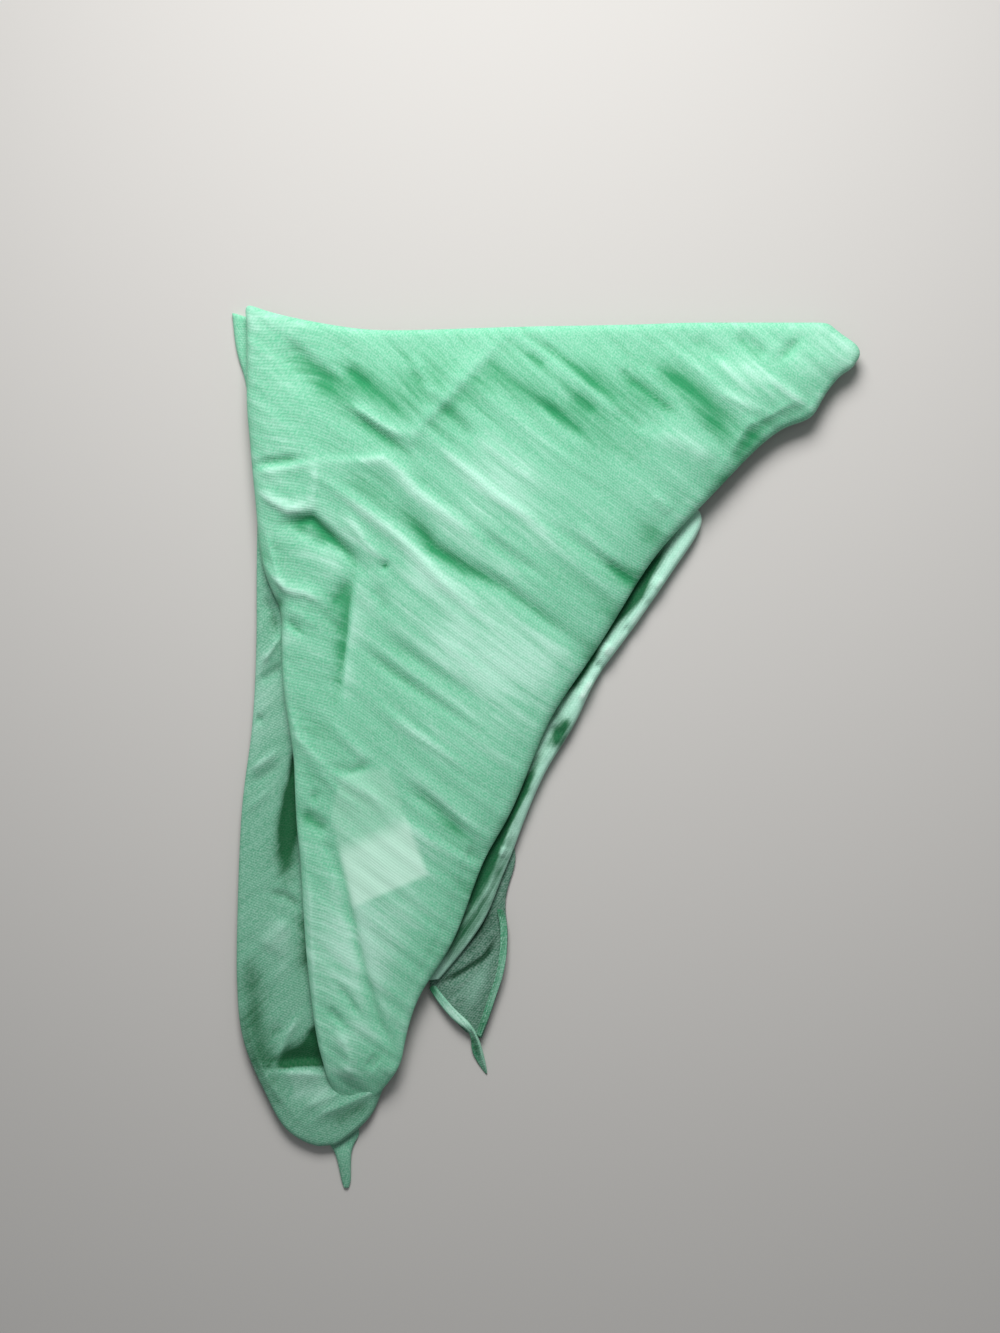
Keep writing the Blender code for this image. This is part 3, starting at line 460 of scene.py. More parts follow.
# %% The top ply's creases
TOP_CREASES = creases(
    # roll of the right edge
    (-0.5, 7, 7, (75, 114.5), (59, 104), (48.5, 91), (41.5, 78.5), (32.5, 64), (24, 47), (15.5, 30.5),
     (8, 15.5), (-0.5, -1), (-8, -20), (-17, -41), (-26.5, -64), (-36, -87.5), (-50, -113.5),
     (-60.5, -134.5)),
    # roll of the left edge
    (-1.5, 6, 9, (-126.5, 172.5), (-124, 138.5), (-122, 105), (-118.5, 80), (-113.5, 54.5)),
    # roll of the wing's lower edge
    (-0.8, 5, 6, (132, 167), (117.5, 153.5), (107.5, 141.5), (96, 140), (85.5, 130), (77.5, 118.5)),
    (-2, 4, 8, (-111, 174), (-98.5, 162.5), (-83.5, 150.5)),  # hollow under the top fold's corner
    (-1.3, 2.4, 3.4, (-84, 162), (-78, 157), (-72, 151.5)),  # second hollow beside it
    (-0.6, 3, 4, (-75, 154.5), (-67, 147), (-60.5, 138.5)),  # its fading tail
    (1.7, 2.4, 1.3, (-83.5, 146), (-76.5, 142), (-67, 135.5), (-56, 129.5)),  # its sharp ridge
    (-1.3, 1.3, 2.5, (-81.5, 142), (-69.5, 133.5), (-54.5, 122.5)),  # dark line under the ridge
    # edge of a fold underneath
    (1.3, 9, 1.9, (-59.5, 126), (-48.5, 139.5), (-40, 148.5), (-26.5, 163.5), (-15, 175)),
    (-1.1, 2.5, 2.5, (-45, 146), (-38.5, 140.5), (-27.5, 129)),  # pit at that edge
    (-0.9, 2.8, 3.6, (-27.5, 166), (-17, 156.5), (-3, 146), (8.5, 139.5)),  # trough from that edge
    (0.8, 1.5, 1.8, (-56, 168), (-47.5, 151.5), (-41, 147)),  # thin ridge down to that edge
    (-0.8, 1.6, 1.6, (-56.5, 159.5), (-49.5, 153)),  # short dark streak beside it
    (0.8, 1.6, 2.2, (-40.5, 146), (-26.5, 130.5), (-10, 117.5), (5, 106.5)),  # thin ridge on from that edge
    # long thin ridge over the middle
    (0.8, 1.8, 2.4, (-38, 157), (-26.5, 151.5), (-14.5, 141), (6.5, 124), (24.5, 112)),
    # crisp ridge from the top fold
    (0.9, 1.4, 2.2, (-11.5, 174), (1.5, 165.5), (25, 146.5), (38, 136.5), (54.5, 125)),
    (-0.9, 1.3, 1.6, (-6.5, 174), (1.5, 169.5), (14.5, 160), (25, 151.5), (30.5, 148.5)),  # dark line over it
    (-1, 1.6, 2.4, (28.5, 143.5), (36, 138), (43.5, 133)),  # dark line lower down
    (-1.1, 2, 3, (-0.5, 146), (7.5, 139.5), (18, 131)),  # soft dark streak in the middle
    (-1, 2.2, 2.2, (-7.5, 168.5), (1.5, 160.5)),  # soft dark streak near the top
    (-0.8, 3, 3, (11, 149.5), (22.5, 141)),  # broad soft hollow
    (-1.4, 1.4, 2, (34.5, 158), (46, 148.5), (57.5, 138.5)),  # dark line near the wing
    (0.9, 1.6, 1.4, (39.5, 163), (49.5, 154), (59.5, 145.5)),  # ridge over that line
    (-0.8, 2, 2, (31.5, 161), (39, 151.5)),  # short trough beside it
    # deep trough beside the wing
    (-1.6, 8, 5.4, (45, 163.5), (54.5, 157), (66.5, 146.5), (73.5, 136.5), (81, 127.5)),
    (1.1, 2.2, 1.9, (54, 169.5), (66.5, 158.5), (75, 149.5), (87, 143.5), (96, 141)),  # wing's ridge
    (0.9, 1.8, 2, (80, 164), (93, 152.5), (100, 144.5)),  # wing's second ridge
    (0.9, 1.6, 1.8, (92, 159), (101.5, 151.5), (111.5, 144.5)),  # wing's third ridge
    (0.6, 1.6, 2, (69, 168), (80, 157.5), (88, 150)),  # wing's small ridge
    (-1.3, 3.5, 3.5, (79.5, 175.5), (87.5, 169.5), (95, 164.5)),  # wing's middle hollow
    (-1, 3.5, 3.5, (61.5, 175), (70.5, 168), (79, 164)),  # wing's first hollow
    (-1.3, 2.4, 2.4, (98.5, 163.5), (108, 173.5)),  # wing's cross hollow
    (1.2, 4, 5, (45, 135.5), (61.5, 127.5), (73, 120)),  # shoulder bulge
    # wing's lower lip
    (1, 2.4, 4, (113, 146), (103, 145.5), (98.5, 142.5), (93, 139.5), (85.5, 136.5), (80, 127.5),
     (74.5, 117.5)),
    # level ridge bending down
    (1.6, 2, 6, (-96, 121), (-85, 121.5), (-76.5, 121.5), (-67, 122.5), (-59.5, 117), (-54, 109),
     (-41.5, 99.5), (-27, 88.5)),
    # long ridge below it
    (1.7, 1.8, 3.6, (-94.5, 114.5), (-79.5, 104.5), (-65.5, 93.5), (-54, 83.5), (-43.5, 71.5), (-30, 60.5)),
    (1, 1.6, 2.4, (-84.5, 101.5), (-73.5, 85.5), (-65.5, 78.5)),  # short ridge left of it
    # main trough
    (-1.6, 3.2, 4.2, (-66.5, 108.5), (-54, 95), (-46, 85), (-32, 75.5), (-15.5, 67.5), (-4, 59), (9, 48),
     (20, 38)),
    (-0.8, 3.4, 3, (-59, 100), (-46, 85.5), (-32, 76.5), (-18.5, 69)),  # main trough's deepest stretch
    # thin ridge over the main trough
    (0.9, 1.6, 2.6, (-58, 134), (-48.5, 133), (-35, 120), (-21, 107), (-7, 99), (6.5, 89), (24.5, 76.5)),
    (-0.8, 2.4, 2.4, (-27.5, 91.5), (-13.5, 81.5), (0.5, 73)),  # soft dark streak over the trough
    (-0.9, 3, 3, (-1.5, 96.5), (19.5, 83), (40.5, 66.5)),  # dark streak to the right edge
    (0.8, 1.8, 2.6, (-10, 98.5), (4.5, 85), (16.5, 76), (33.5, 62)),  # ridge to the right edge
    (0.9, 1.8, 2.4, (11, 97.5), (23.5, 85), (36.5, 74)),  # second ridge to the right edge
    (0.8, 1.8, 1.8, (45, 108), (54, 99)),  # short ridge near the right edge
    (-1, 2.4, 2.4, (25, 80.5), (33, 74), (39.5, 69)),  # short hollow near the right edge
    (-1.5, 1.4, 2.4, (-123.5, 120), (-113, 121.5), (-101.5, 122.5)),  # level crease at the left
    (0.9, 1.4, 3, (-122.5, 117), (-111, 118.5), (-97, 120.5)),  # lens under the level crease
    (0.8, 1.4, 3, (-96.5, 121), (-96, 111), (-98, 101)),  # upright side of the lens
    # slanting ridge over the pocket
    (1.7, 3, 1.6, (-121, 109.5), (-114, 104), (-107.5, 100.5), (-98, 101.5)),
    (-2.6, 2.2, 2.6, (-110, 95), (-97.5, 97), (-85.5, 86), (-75, 75.5)),  # three-cornered pocket
    (-1.5, 3, 3, (-106.5, 93.5), (-98.5, 91), (-89, 84.5)),  # pocket's wide end
    (0.8, 1.6, 1.6, (-117.5, 93), (-115, 83), (-111, 70)),  # facet's upright ridge
    (1.6, 3, 1.6, (-117, 76.5), (-109, 67.5), (-100, 65.5), (-90.5, 61)),  # facet's lower ridge
    # upright edge below the pocket
    (-1.2, 1.2, 5, (-79.5, 75), (-82.5, 61.5), (-83, 49.5), (-85.5, 29.5), (-87.5, 13.5)),
    (-0.9, 2.8, 3.4, (-81, 73), (-86.5, 64), (-90.5, 58)),  # dark side of that edge
    (-0.7, 2.4, 3, (-93.5, 58), (-88.5, 53), (-83, 49)),  # dark line to its left
    (-1.6, 1.6, 1.6, (-67.5, 78.5), (-65.5, 76)),  # small pit
    (-0.8, 2.6, 2.6, (-71.5, 69), (-68, 63), (-66, 56.5)),  # hollow below the pit
    (-2.2, 2.4, 3, (-110.5, 65.5), (-112.5, 58), (-111.5, 49)),  # pocket at the left edge
    (-1.1, 1.3, 1.6, (-108.5, 54.5), (-101, 49)),  # short dark crease
    (0.7, 1.6, 1.8, (-109, 59.5), (-102.5, 57), (-94, 51)),  # ridge over it
    # ridge curving from the left edge
    (0.9, 2.4, 2, (-108.5, 22), (-103.5, 5), (-90, -9), (-81.5, -14.5), (-72, -19.5), (-64.5, -30)),
    (0.6, 1.4, 1.8, (-88.5, 10), (-81.5, 3), (-72, -5.5)),  # thin ridge inside it
    (-0.8, 1.6, 1.8, (-90.5, -7), (-80.5, -8.5), (-71.5, -5.5)),  # dark line above the label
    (0.6, 1.5, 2, (-103.5, 2.5), (-94, -8.5), (-85, -19.5), (-74, -26)),  # thin ridge at its left
    (-1.3, 3, 3.2, (-102.5, -26), (-96.5, -30), (-90.5, -35)),  # dark spot beside the label
    (-0.9, 2.4, 2.4, (-98.5, -18), (-94.5, -21.5)),  # soft hollow above the spot
    (-0.8, 2.6, 2.6, (-93.5, -36.5), (-89, -44.5), (-85, -53.5)),  # soft hollow below the spot
    (-1.2, 1.8, 2.6, (-79.5, 44.5), (-61.5, 32), (-43.5, 19.5), (-27, 7)),  # lower trough
    (-1.2, 2.6, 3, (-72, 51), (-54, 38.5), (-35, 25.5), (-23, 15.5)),  # second lower trough
    (0.9, 1.3, 2, (-68, 17.5), (-54, 7.5), (-43.5, 0.5), (-30.5, -9.5)),  # crisp lower ridge
    (0.9, 2.2, 1.8, (-63, -7), (-43.5, -20.5), (-33, -29.5), (-22.5, -38)),  # ridge over the dark facet
    (-1.1, 3.2, 4.2, (-59.5, -11.5), (-43.5, -26), (-29, -42.5)),  # dark facet right of the label
    (-0.7, 3, 3, (-33.5, -42), (-24, -46)),  # its deepest corner
    (0.8, 1.8, 3, (-62, -29), (-51, -36), (-36, -45), (-26, -51)),  # edge under the dark facet
    # ridge inside the left edge
    (0.6, 3, 1.4, (-101.5, -37.5), (-98.5, -63), (-97.5, -88), (-96, -113.5), (-91.5, -132.5), (-88.5, -141)),
    # tongue's long trough
    (-1.5, 2.2, 3, (-87, -41.5), (-82, -66.5), (-74.5, -98), (-69.5, -113.5), (-61.5, -129.5)),
    (1.3, 3.5, 4.5, (-87, -116), (-81.5, -130), (-82.5, -141)),  # tongue's crown
    (-0.7, 3.8, 3.8, (-74, -129.5), (-69.5, -133)),  # tongue's dimple
    (-0.8, 1.8, 2.2, (-91, -108), (-84, -115.5)),  # tongue's short crease
    (-0.8, 1.6, 1.8, (-88, -98), (-81.5, -105), (-77, -113)),  # tongue's second short crease
)
TOP_RIPPLES = (
    Ripple(17.0, 0.16, 0.4, 4.0),
    Ripple(9.7, 0.13, 1.9, 3.0),
    Ripple(6.3, 0.10, 4.1, 2.2),
    Ripple(4.1, 0.045, 2.7, 1.4),
)
print(len(TOP_CREASES), "creases on the top ply")

# %% [markdown]
# Painted shade and painted highlights lie over the top ply's folds, where its colour changes more than its
# height does. They are kept in tables of their own, written as creases but used for the colour alone: below
# zero they are painted shade and make it deeper, above zero painted highlights and make it paler.

# %% The top ply's painted shade and highlights, and its colours
TOP_PAINTED_SHADING = creases(
    (-0.9, 0.8, 7.5, (-79, 75), (-81.5, 61.5), (-83.5, 46.5), (-86, 25.5)),  # dark side of the upright edge
    (0.5, 6, 0.8, (-77.5, 71.5), (-80, 54.5), (-82, 42), (-84, 21)),  # pale side of the upright edge
    # all along the top fold
    (-0.65, 20, 20, (-118.5, 147), (-77.5, 146), (-43.5, 149), (-10, 152), (23.5, 148), (61.5, 142)),
    # deep trough beside the wing
    (-0.65, 10, 9, (43.5, 164.5), (54.5, 156.5), (66.5, 145), (75, 133.5), (80.5, 125)),
    (-0.35, 4, 4, (-59, 100), (-46, 85.5), (-32, 76.5), (-14.5, 66.5)),  # main trough
    (-0.8, 3, 3.5, (-109, 95), (-97.5, 96), (-83.5, 83)),  # three-cornered pocket
    # under the wing's lip
    (-0.65, 3, 5, (112.5, 142.5), (103, 141), (95, 138), (87.5, 132), (81.5, 124), (76.5, 116)),
    (-1.1, 12, 12, (-83.5, 153.5)),  # in the hollow under the corner
    (-0.5, 15, 15, (-48, 146)),  # beside the fold underneath
    (-0.45, 12, 12, (-22, 153.5)),  # under the middle of the top fold
    (-0.85, 24, 24, (21.5, 141)),  # in the middle
    (-0.5, 12, 12, (42.5, 148)),  # beside the wing
    (1.1, 20, 20, (-18.5, 112.5)),  # pale in the middle
    (0.9, 11, 11, (-37.5, 47)),  # pale beside the trough
    (1.1, 18, 18, (-18.5, 36)),  # pale below the trough
    (0.7, 10, 10, (0.5, 37)),  # pale by the edge
    (-0.5, 15, 15, (7.5, 66.5)),  # along the trough
    (-0.3, 13, 13, (-18.5, 85)),  # above the trough
    (0.8, 8, 8, (-52, 72.5)),  # pale below the ridge
    (0.6, 7, 7, (-85.5, 86)),  # pale by the pocket
    (0.6, 10, 10, (-52, -47)),  # pale beside the label
    (-0.5, 11, 11, (-90, -13.5)),  # above the label
    (-0.5, 14, 14, (-94, 10.5)),  # left of the middle
    (-0.8, 8, 8, (-101, -29.5)),  # at the spot
    (-0.5, 10, 10, (-88, 61.5)),  # facet below the pocket
    (-0.2, 18, 18, (-60.5, 149)),  # upper left
    (-0.6, 9, 9, (-76.5, 112)),  # under the level ridge
    (-0.3, 8, 8, (-48.5, 100)),  # beside the main trough
    (-0.4, 10, 10, (-99, 163)),  # upper left corner
    (0.5, 20, 20, (-81.5, -82)),  # pale on the tongue
    (0.5, 9, 9, (-85.5, -76.5)),  # pale below the label
    (0.6, 7, 7, (-79, -119)),  # pale on the crown
    (-0.6, 12, 12, (-41.5, -34.5)),  # in the facet
    (-0.35, 14, 14, (-60.5, 20)),  # in the lower middle
    (-1.3, 12, 12, (-27.5, -61)),  # by the lower right edge
    (-1, 13, 13, (-45.5, -89)),  # lower down that edge
    (-1.2, 8, 8, (46.5, 89.5)),  # edge, upper part
    (-1.3, 8, 8, (38.5, 73.5)),  # edge, second part
    (-1.3, 8, 8, (29.5, 57.5)),  # edge, third part
    (-1, 7, 7, (20, 40)),  # edge, fourth part
    (-1.2, 7, 7, (11.5, 21)),  # edge, fifth part
    (-1.2, 7, 7, (2.5, 3.5)),  # edge, sixth part
    (-1.3, 7, 7, (-6, -15)),  # edge, seventh part
    (-1.2, 7, 7, (-14.5, -33.5)),  # edge, eighth part
    (-0.9, 8, 8, (85.5, 127)),  # under the lip
    (-1.1, 7, 7, (75, 112)),  # under the lip's end
    (0.55, 10, 10, (86.5, 154.5)),  # on the wing
    (0.5, 9, 9, (126.5, 168)),  # at the wing's tip
    (-0.3, 10, 10, (-86.5, -110)),  # on the tongue
    (-0.5, 10, 10, (-71.5, -130)),  # at the tongue's end
    (0.75, 17, 17, (-75, -89)),  # pale on the tongue
    (0.5, 14, 14, (-59, -72)),  # pale beside it
    (-0.5, 9, 9, (93, 135.5)),  # under the wing
    (-0.8, 10, 10, (-121, 80)),  # left edge
)
# the cloth's colour; the deep colour of painted shade and the dye's deeper patches; the pale colour of painted
# highlights and the dye's paler patches
MINT, DEEP, PALE = (121, 209, 169), (36, 146, 92), (200, 253, 231)
print(len(TOP_PAINTED_SHADING), "shades on the top ply")

# %% [markdown]
# A label is sewn in below the top ply. The thin cloth lets it through as a paler patch, so the patch belongs
# to the top ply's finish. It could be painted on a picture, but its outline is only five corners, so it is
# worked out in the shader: the patch is where a point lies inside of all five sides.

# %% The label shows through
GHOST = [(-81.4, -68.2), (-46.8, -53.2), (-64.8, -5.5), (-86.5, -9.5), (-91.5, -27.5)]  # its outline in mm
SOFT_RIM = 0.0032  # metres from its outline to where it shows fully
RIBBON_END = (0.021, 0.030)  # metres from its foot, between which the doubled ribbon ends


def over_label(finish, colour):
    """The sewn label shows through the thin cloth, and most where its ribbon is doubled."""
    place = finish.node("SeparateXYZ", sockets={"Vector": finish.node("TexCoord", output=3)})
    x, y = place, Amount(finish, place.socket.node.outputs[1])
    inward = []
    for start, end in zip(GHOST, GHOST[1:] + GHOST[:1]):
        away = Vector((start[1] - end[1], end[0] - start[0])).normalized()
        inward.append(x * away.x + y * away.y - away.dot(Vector(start)) * MM)
    ghost = inward[0].between(0.0, SOFT_RIM)
    for distance in inward[1:]:
        ghost = ghost * distance.between(0.0, SOFT_RIM)
    doubled = 1 - inward[0].between(*RIBBON_END)
    return finish.mix(ghost * (doubled * 0.55 + 0.2), colour, shade((214, 255, 234)))


# %% The top ply
TOP_NUDGES = (
    (129.5, 166.5, 7.0, 2.4, 0.4),  # the wing's tip
    (128.0, 162.0, 3.0, 0.9, -0.3),  # the corner under it
    (109.5, 143.5, 8.0, 2.4, -2.4),  # the wing's lower edge
    (-122.5, 186.0, 4.5, -1.5, 1.0),  # the top fold's corner
)
BEND_START, BEND_LENGTH, BEND_DROP = -134.0, 14.0, 2.5  # the bend at the end of the tongue, in mm
BEND_HEIGHT = 7.0  # from this height on, in mm, it drops all the way
top_cloth = woven("top_cloth", MINT, DEEP, PALE, extra=over_label)
bm = fuller(finer(ease(outer_side("top_ply"), rounds=12), rounds=1, cuts=2, smoothing=3), 0.9)
nudge(bm, *TOP_NUDGES)
press(bm, TOP_CREASES, turn=-39, waves=TOP_RIPPLES)
for vertex in bm.verts:  # the end of the tongue bends down and goes over into the side ply's turn
    past = min(max((BEND_START * MM - vertex.co.y) / (BEND_LENGTH * MM), 0), 1)
    high = min(vertex.co.z / (BEND_HEIGHT * MM), 1)
    vertex.co.z -= BEND_DROP * MM * past * past * (3 - 2 * past) * high
top = piece(bm, "top_cloth", "top_ply", "cloth", top_cloth, turn=-38, curl=(-108.0, 36.0), painted_shading=TOP_PAINTED_SHADING)

# %% [markdown]
# The side ply is the next stretch of the same cloth. It shows as a strip down the left and curls round the
# bottom like a sling. Folded over, its threads run the other way.

# %% The side ply
SIDE_CREASES = creases(
    (1.1, 3, 3, (-109.5, 43), (-108, 21), (-106, 1)),  # rise under the top ply's left edge
    # turn line at the tongue's end
    (1.4, 2.6, 4, (-64, -141), (-75, -146), (-85, -150.5), (-93, -153.5), (-98.5, -158)),
    (-1.8, 1.5, 1.6, (-104.5, 0), (-106, -7.5), (-107, -15)),  # slit's narrow end
    (-2, 4.6, 3.6, (-105.5, -6), (-108.5, -28.5), (-110, -56)),  # slit beside the top ply
    (-2.6, 6, 1.4, (-112.5, -132), (-102.5, -131.5), (-91.5, -130.5)),  # pocket over the sling
    (-0.9, 3.6, 3.6, (-99.5, -118.5), (-94, -122.5)),  # pocket's upper end
    (1.2, 1.2, 4, (-115, -136), (-103.5, -136.5), (-90.5, -137.5)),  # pocket's crisp edge
    (1.7, 2.6, 1.6, (-119.5, 36), (-115, 42), (-110.5, 49)),  # light fold on the left
    (-1, 1.8, 2.8, (-120.5, 28.5), (-115, 32.5), (-110.5, 36)),  # dark fold under it
    (-1.1, 2, 3, (-119, 66), (-115, 58), (-113, 49.5)),  # dark pocket at its upper end
    (-0.9, 1.8, 1.8, (-122, 13.5), (-118.5, 12)),  # small dent
    (0.9, 1.6, 2, (-124.5, -9), (-118.5, -5), (-111.5, 0)),  # light fold lower down
    (-0.7, 2, 2, (-124.5, -14.5), (-117.5, -10.5), (-111.5, -6.5)),  # dark fold lower down
    (0.5, 2, 2, (-125.5, -26), (-120, -21), (-115, -16)),  # faint fold lower down
    (1.1, 7.5, 7.5, (-117, -86.5), (-112.5, -79), (-108, -70.5)),  # light oval
    (-0.9, 1.4, 2, (-117, -60), (-109, -61.5), (-103, -66.5)),  # line above the oval
    (-0.35, 5, 5, (-123.5, -92.5), (-118.5, -101.5), (-114, -109), (-117, -124.5)),  # hollow over the sling
    (0.9, 1.4, 1.6, (-113.5, -132.5), (-108.5, -121), (-103, -111.5)),  # line up from the pocket
    (-0.4, 3, 3, (-116, -119), (-110.5, -118)),  # small hollow beside it
    (0.9, 4, 2, (-127, -108.5), (-122.5, -127), (-116, -141), (-105, -155.5)),  # sling's rolled rim
    (0.7, 2.4, 2.4, (-102.5, -152), (-94, -148), (-84, -144.5)),  # sling's soft fold
)
# painted shade and painted highlights on the side ply: below zero deeper, above zero paler
SIDE_PAINTED_SHADING = creases(
    (-2.6, 2, 2.2, (-103.5, 5), (-105, -12.5), (-106.5, -27)),  # slit
    (-2.6, 4.4, 3.6, (-106, -11.5), (-108, -27), (-109, -42)),  # slit's middle
    (-1.6, 8, 6, (-107, -23), (-109, -40), (-111, -59.5)),  # slit's wide end
    (-3, 7, 1.4, (-115, -134), (-103.5, -133), (-90, -132.5)),  # pocket
    (-2.8, 4, 4.6, (-95.5, -115), (-94.5, -123.5), (-93.5, -133.5)),  # pocket's right side
    (-1.6, 4, 4, (-99.5, -125.5)),  # between them
    (-1.3, 6, 6.5, (-125, -82), (-123, -101.5), (-119.5, -127)),  # dark end of the strip
    (0.7, 10, 10, (-109, -69), (-109, -86), (-108, -100.5)),  # pale end of the strip
    (-1.6, 5, 5, (-102.5, -65), (-101, -79.5), (-100, -98.5)),  # beside the top ply
    (-0.5, 4, 4, (-116, 63), (-113.5, 46.5), (-111.5, 29.5)),  # upper end of the strip
    (0.7, 12, 12, (-121, 46.5), (-121, 21), (-122, -4)),  # pale upper strip
    (-1.2, 6, 4.5, (-127.5, -109), (-121, -132.5), (-106.5, -156)),  # sling's outer side
    (1.4, 6, 4, (-110, -146), (-99, -145.5), (-88, -142.5)),  # sling's pale inside
    (-1, 5, 5, (-91.5, -158), (-81.5, -153), (-72, -148.5)),  # sling's right end
)
SIDE_RIPPLES = (
    Ripple(12.5, 0.08, 0.9, 2.0),
    Ripple(7.1, 0.06, 3.3, 1.4),
)
# the same cloth in darker colours than the top ply's, as painted shade
side_cloth = woven("side_cloth", (106, 184, 149), (2, 90, 48), (168, 224, 200), weave=1.2, streak=0.7)
bm = fuller(finer(ease(outer_side("side_ply"), rounds=16), rounds=2, cuts=1), 0.9)
nudge(bm, (-104.0, -158.5, 14.0, -2.6, -2.2))
press(bm, SIDE_CREASES, turn=40, waves=SIDE_RIPPLES)
side = piece(bm, "side_cloth", "side_ply", "cloth", side_cloth, turn=42, painted_shading=SIDE_PAINTED_SHADING)

# %% [markdown]
# A second fold runs beside the top ply's right edge, as a pale rolled crest with a dark gap behind it. The
# gap is open in the shell too, and its colour is deepened where the plies close off the light.

# %% The second fold
SECOND_CREASES = creases(
    (1, 3, 3, (28.5, 45), (25, 40)),  # crest's bulge
    (1.1, 3.4, 3.4, (21.5, 29.5), (15, 20)),  # crest's second bulge
    (0.7, 3, 3, (50.5, 72.5), (47, 67.5)),  # crest's upper bulge
    (-0.8, 2.2, 2.2, (33.5, 52), (38, 49)),  # dip between them
    (-0.9, 2, 2, (22, 37), (26, 33.5)),  # second dip
    (-0.6, 2, 2, (43, 63), (47, 59.5)),  # upper dip
    (-0.9, 3, 3, (3.5, 11), (7.5, 5)),  # dark end of the crest
    (1, 2.6, 2.6, (-16, -40.5), (-18.5, -45.5)),  # lower roll's bulge
    # lower roll's ridge
    (0.8, 1.8, 1.8, (1.5, 1), (-3.5, -12.5), (-12, -28.5), (-17.5, -43), (-23.5, -58.5), (-33, -73),
     (-44.5, -90.5)),
)
# painted shade in the gaps and at the lower end, where the plies close off the light
FOLD_PAINTED_SHADING = creases(
    (-1.7, 7, 7, (-11, -32), (-19.5, -48.5), (-33, -73.5), (-48, -98.5)),  # lower end
    # gap inside the crest
    (-3.4, 3, 3.4, (57, 92.5), (44.5, 75), (39.5, 65.5), (28.5, 54), (22.5, 46.5), (16, 34.5),
     (11, 25.5), (5, 14.5)),
    (-2.5, 3, 4.2, (12, 14.5), (7.5, 7), (3.5, -1)),  # gap below the crest
    # gap inside the lower roll
    (-3, 2.6, 3.4, (1, 1.5), (-6.5, -13.5), (-15, -29.5), (-23.5, -47), (-32, -63)),
)
# paler colours than the top ply's, as a painted highlight on the rolled crest
fold_cloth = woven("fold_cloth", (194, 254, 228), (10, 98, 56), (240, 255, 248))
bm = fuller(finer(outer_side("second_fold"), rounds=2, cuts=1), 0.9)
nudge(bm, (-48.0, -93.0, 7.0, -1.2, -3.0))
press(bm, SECOND_CREASES, turn=-30, waves=SIDE_RIPPLES)
fold = piece(bm, "fold_cloth", "second_fold", "cloth", fold_cloth, turn=58, painted_shading=FOLD_PAINTED_SHADING)

# %% [markdown]
# One corner of the cloth is turned out at the lower right. Here it is a single layer and so thin that its
# colour is darker. Making it see-through would ask a lot of the renderer, so it has a finish of its own in
# the darker colour, with the same weave.

# %% The hemmed corner
CORNER_NUDGES = (
    (-39.5, -110.0, 14.0, -0.7, -1.1),
    (-26.0, -117.0, 6.0, -0.6, -2.4),
    (-26.0, -120.0, 3.0, -1.0, -1.4),
)
CORNER_CREASES = creases(
    (-1.2, 2, 1, (-19.5, -79), (-25, -87.5), (-34.5, -94), (-45, -99)),  # the corner's crease
    (0.7, 2, 1.4, (-18.5, -82.5), (-24.5, -90.5), (-33.5, -97.5), (-43.5, -102)),  # its lip
    (-1, 1.8, 2.2, (-25, -72), (-32, -76.5), (-39.5, -81.5)),  # dark fold above it
    (0.5, 2.4, 2.4, (-22.5, -91.5), (-27.5, -100), (-31, -109)),  # soft ridge
)
# painted shade beside the second fold and in the corner's crease, and a painted highlight beside the crease
CORNER_PAINTED_SHADING = creases(
    (-1.5, 6, 4, (-19.5, -65), (-27.5, -75.5), (-38.5, -87.5)),  # beside the second fold
    (-1.6, 3.4, 3.4, (-30, -75.5)),  # its darkest spot
    (-2, 1.6, 0.9, (-19.5, -79), (-25, -87.5), (-34.5, -94), (-45, -99)),  # the corner's crease
    (0.9, 3, 6, (-23.5, -93), (-29.5, -102.5), (-31, -110)),  # pale beside the crease
)
sheer_cloth = woven("sheer_cloth", (66, 124, 98), (2, 62, 36), (122, 180, 154), weave=1.5)
bm = fuller(finer(outer_side("hemmed_corner"), rounds=2, cuts=1), 0.4)
nudge(bm, *CORNER_NUDGES)
press(bm, CORNER_CREASES, turn=-30, waves=SIDE_RIPPLES[1:])
corner = piece(bm, "corner_cloth", "hemmed_corner", "cloth", sheer_cloth, turn=48, painted_shading=CORNER_PAINTED_SHADING)

# %% [markdown]
# The two hems run along the corner's free sides. Each is the cloth turned over twice and stitched, so it is a
# flat narrow band. The side hem is taken from its wall. The end hem rolls over as it nears the corner and
# goes on into the twisted point beyond it, so both of these are built from cross sections: at each
# station a ring of corners from the left side over the top to the right side and back underneath.

# %% A band of folded cloth from stations
Station = namedtuple("Station", "left right low inside rim")  # its two sides, and its three heights, in mm
SECTION = (  # across the band: how far over, how much of the inside's height and how much of the rim's
    (0.0, 0.25, 0.0),
    (0.12, 0.93, 0.0),
    (0.42, 1.0, 0.0),
    (0.7, 0.0, 1.0),
    (0.9, 0.0, 0.92),
    (1.0, 0.0, 0.2),
    (0.5, 0.0, 0.0),
)


def band(stations):
    """A closed band of pressed cloth, with an arched ring at each station, bridged to the next."""
    bm = bmesh.new()
    rings = []
    for station in stations:
        left, right = Vector((*station.left, 0)), Vector((*station.right, 0))
        corners = bmesh.ops.create_circle(bm, segments=len(SECTION), radius=MM)["verts"]
        for vertex, (share, inside, rim) in zip(corners, SECTION):
            vertex.co = left.lerp(right, share)
            vertex.co.z = station.low * (1 - inside - rim) + station.inside * inside + station.rim * rim
            vertex.co *= MM
        rings.append({edge for vertex in corners for edge in vertex.link_edges})
    for before, after in zip(rings[:-1], rings[1:]):
        bmesh.ops.bridge_loops(bm, edges=list(before | after))
    bmesh.ops.holes_fill(bm, edges=[edge for edge in bm.edges if edge.is_boundary], sides=len(SECTION))
    bmesh.ops.recalc_face_normals(bm, faces=bm.faces)
    print(f"a band of {len(stations)} stations and {len(bm.faces)} faces")
    return finer(bm, rounds=3, cuts=0, smoothing=0)


